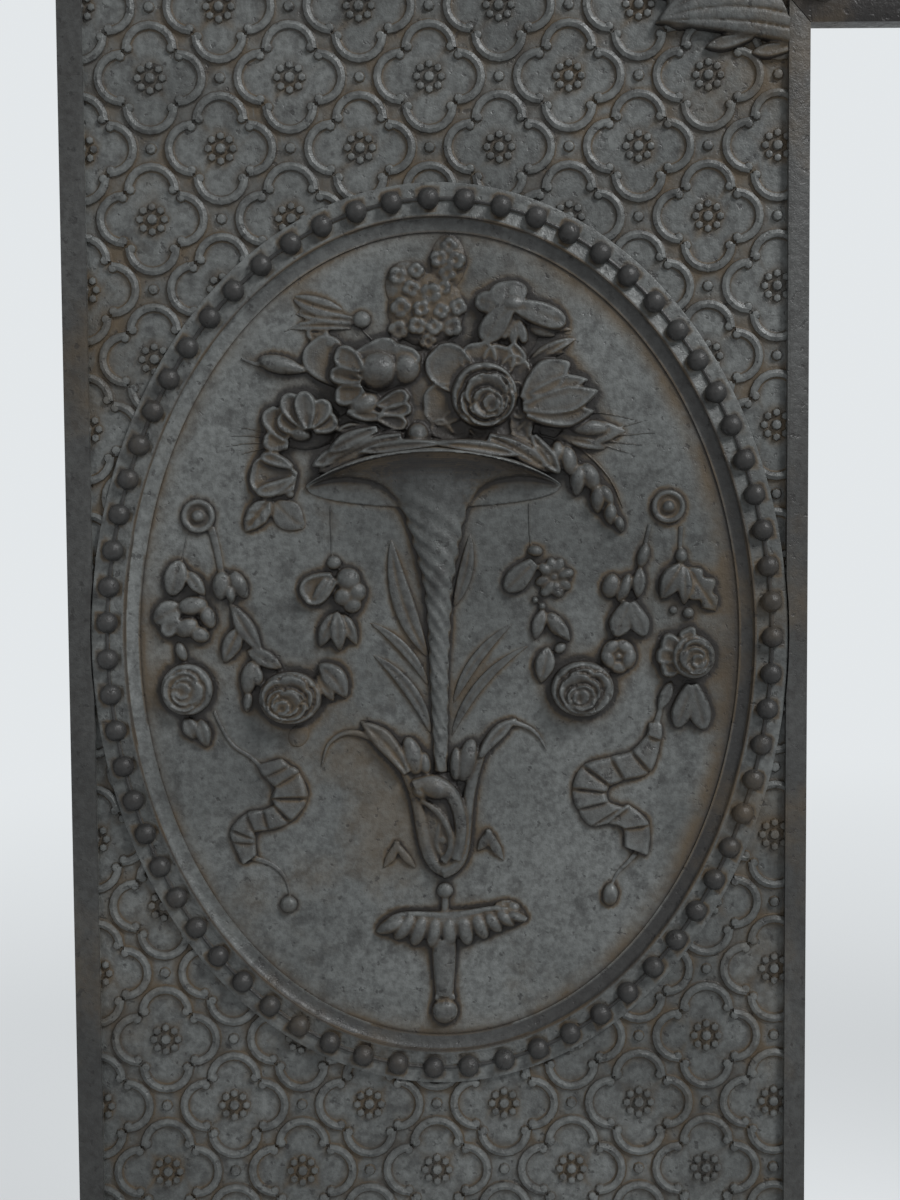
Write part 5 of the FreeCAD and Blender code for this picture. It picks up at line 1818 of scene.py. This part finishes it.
mark_recess(medallion, undersides=0.25)
recess, grime_and_shade = (medallion.verts.layers.float[name] for name in ("recess", "grime_and_shade"))
for v in medallion.verts:
    depth = oval_depth(v.co.x, v.co.y)
    out = Vector((v.co.x - oval_x, v.co.y - oval_z)).normalized()
    to_right = max(out.x, 0)
    if v.co.z > band_rise + 0.5:
        v[recess] = min(v[recess], bead_recess) * bead_share
        v[grime_and_shade] = bead_grime
    elif v.co.z < -field_sink - 0.1:
        v[recess] = medallion_back
    # Painted shade: the cove is darker on its right, top and bottom, where it turns from the light of the
    # upper right, and clear on its lit left side; its two edges hold dark lines of rust and painted shade
    elif band_width - 0.5 < depth < field_edge + 0.1:
        at_edge = min(depth - band_width, field_edge - depth) < cove_edge
        v[recess] = cove_edge_recess if at_edge else cove_recess
        at_ends = cove_ends_shade * abs(out.y) + cove_bottom_shade * max(-out.y, 0)
        v[grime_and_shade] = cove_shade_base + cove_right_shade * to_right + at_ends
        if out.x < -0.5 and not at_edge:
            v[grime_and_shade] = 0
    elif depth > field_edge:
        damp_foot = math.exp(-(((depth - field_edge) / damp_reach) ** 2))
        v[recess] = min(v[recess] + damp_foot * (damp_all + damp_right * to_right), 1)
relief["casting"] = medallion
for part, shape in relief.items():
    # The vase gets a strong painted shade under its overhanging lip
    if part == "vase":
        mark_recess(shape, undersides=0.15, soil=0.05, shade=2.8)
    elif part != "casting":
        mark_recess(shape, undersides=0.4, soil=0.38, shade=0.5)
    for side, mirror in (("left", False), ("right", True)):
        crisp = 38 if part == "casting" else 60
        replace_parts(casting(shape, f"medallion_{side}_{part}", crisp, mirror), f"medallion_{side}")

# %% [markdown]
# ## The corner leaf
# An acanthus leaf grows out of the borders' corner and lies on the ground across the mitre. It is
# made like the relief: a long spine, on each side of it a broad wing, lobes that fan out from the
# midrib, and small curls along the lower edge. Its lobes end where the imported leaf's lobes end.

# %% Acanthus leaf over the mitre
corner = Vector((inner_x, opening_top))
up_mitre, off_mitre = Vector((-1, 1)).normalized(), Vector((1, 1)).normalized()
leaf_base = inner_border + border_ridge + 0.4
leaf_floor = 0.35
wing_swell, wing_groove = 1.0, 1.1
wing_edge_round, wing_edge_foot = 1.4, 0.25
sprig_length, sprig_width, sprig_start, sprig_angle, sprig_rise = 0.55, 0.45, 0.34, 38, 0.6


def on_corner(bm, shape, base, tip):
    """Sets a blade or petal from one place to another, each given up the mitre and off to its side."""
    ends = [corner + up * up_mitre + off * off_mitre for up, off in (base, tip)]
    run = ends[1] - ends[0]
    turned = Matrix.Rotation(math.atan2(run.y, run.x), 4, "Z")
    place = Matrix.Translation((ends[0].x, ends[0].y, 0))
    bmesh.ops.transform(shape, matrix=place @ turned, verts=shape.verts)
    join(bm, shape)


def wing(lower, upper, low, high, grooves):
    """A broad lobe between two edges, each a curve through three places up and off the mitre."""
    shape = bmesh.new()
    bmesh.ops.create_grid(shape, x_segments=26, y_segments=36, size=1)
    edges = [[Vector(place) for place in edge] for edge in (lower, upper)]
    for v in shape.verts:
        s, t = (v.co.x + 1) / 2, (v.co.y + 1) / 2
        one, other = ((1 - s) ** 2 * a + 2 * s * (1 - s) * b + s * s * c for a, b, c in edges)
        breadth = (other - one).length
        where = one.lerp(other, t)
        vein = abs(math.sin(math.pi * grooves * t))
        level = low + (high - low) * s + wing_swell * math.sin(math.pi * t) - wing_groove * (1 - vein) ** 3
        level *= soft_edge(breadth * min(t, 1 - t), wing_edge_round, wing_edge_foot)
        v.co = Vector((*(corner + where.x * up_mitre + where.y * off_mitre), level))
    return body(shape)


acanthus = bmesh.new()
lower_edge = ((-4, 10), (15, 21.5), (42, 43))
upper_edge = ((20, 1), (50, 18), (42, 43))
lobes = (
    ((40, 3), (58, 37), 23, 5.0, 2.8), ((54, 3), (75, 26), 20, 4.8, 2.8), ((68, 2), (92, 11.5), 16, 4.6, 2.6),
)
curls = (((12, 20), (22, 35.5), 6.4), ((-3, 10), (8, 25), 6.4), ((30, 31), (38, 40), 3.6))
spine_base, spine_tip, spine_width, spine_arch = 12, 104, 15, 4.6
for side in (-1, 1):
    lower, upper = ([(up, side * off) for up, off in edge] for edge in (lower_edge, upper_edge))
    join(acanthus, wing(lower, upper, 5.2, 4.0, grooves=4))
    for (up0, off0), (up1, off1), width in curls:
        curl = petal(math.hypot(up1 - up0, off1 - off0), width, 2.6, 2.0, lip=0.6, taper=0.5, dish=-0.6)
        on_corner(acanthus, curl, (up0, side * off0), (up1, side * off1))
    for (up0, off0), (up1, off1), width, low, high in lobes:
        length = math.hypot(up1 - up0, off1 - off0)
        lobe = petal(length, width, low, high, dish=-1.0, lip=0.7, fold=1.0, taper=0.5, waist=0.5)
        on_corner(acanthus, lobe, (up0, side * off0), (up1, side * off1))
        for turned_to in (-1, 1):
            sprig = petal(
                sprig_length * length, sprig_width * width, low + sprig_rise, high,
                dish=-0.5, lip=0.5, fold=0.6, taper=0.8,
            )
            turned = Matrix.Rotation(math.radians(sprig_angle * turned_to), 3, "Z")
            bmesh.ops.rotate(sprig, cent=(0, 0, 0), matrix=turned, verts=sprig.verts)
            bmesh.ops.translate(sprig, vec=(sprig_start * length, 0, 0), verts=sprig.verts)
            on_corner(acanthus, sprig, (up0, side * off0), (up1, side * off1))
spine = blade(spine_tip - spine_base, spine_width, spine_arch, edge=1.2, groove=1.6, belly=0.7)
on_corner(acanthus, spine, (spine_base, 0), (spine_tip, 0))
acanthus = melt(acanthus, "acanthus", leaf_floor)

# %% Rust and painted shade in the leaf's grooves, and the cut at the borders
smoothing_passes, groove_depth = 14, 0.3
leaf_foot, foot_falloff, groove_recess, underside_shade = 0.75, 0.20, 0.3, 0.5
leaf_grime, groove_shade = 0.26, 0.45

# Its grooves are found by smoothing the heights along the mesh's own edges
acanthus.verts.index_update()
acanthus.normal_update()
links = np.array([[v.index for v in e.verts] for e in acanthus.edges])
leaf_heights = np.array([v.co.z for v in acanthus.verts])
smoothed = leaf_heights
vert_count = len(leaf_heights)
neighbours = np.maximum(np.bincount(links.ravel(), minlength=vert_count), 1)
for _ in range(smoothing_passes):
    total = np.bincount(links[:, 0], smoothed[links[:, 1]], vert_count)
    total += np.bincount(links[:, 1], smoothed[links[:, 0]], vert_count)
    smoothed = total / neighbours
grooves = np.clip((smoothed - leaf_heights) / groove_depth, 0, 1)
recess, grime_and_shade = dirt_and_shade_layers(acanthus)
# Painted shade at the leaf's foot, in its grooves and on faces that look down; leaf_grime is its own darker
# tone
for v, groove in zip(acanthus.verts, grooves):
    at_foot = max(leaf_foot - foot_falloff * v.co.z, 0)
    v[recess] = min(at_foot + groove_recess * groove + underside_shade * max(-v.normal.y, 0), 1)
    v[grime_and_shade] = leaf_grime + groove_shade * groove
cut_along(acanthus, (inner_x - leaf_base, 0, 0), (1, 0, 0))
cut_along(acanthus, (0, opening_top + leaf_base, 0), (0, 1, 0))
beyond = [
    f for f in acanthus.faces
    if f.calc_center_median().x > inner_x - leaf_base and f.calc_center_median().y < opening_top + leaf_base
]
bmesh.ops.delete(acanthus, geom=beyond, context="FACES")
close_holes(acanthus)
for side, mirror in (("left", False), ("right", True)):
    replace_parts(casting(acanthus, f"corner_leaf_{side}_casting", 60, mirror), f"corner_leaf_{side}")
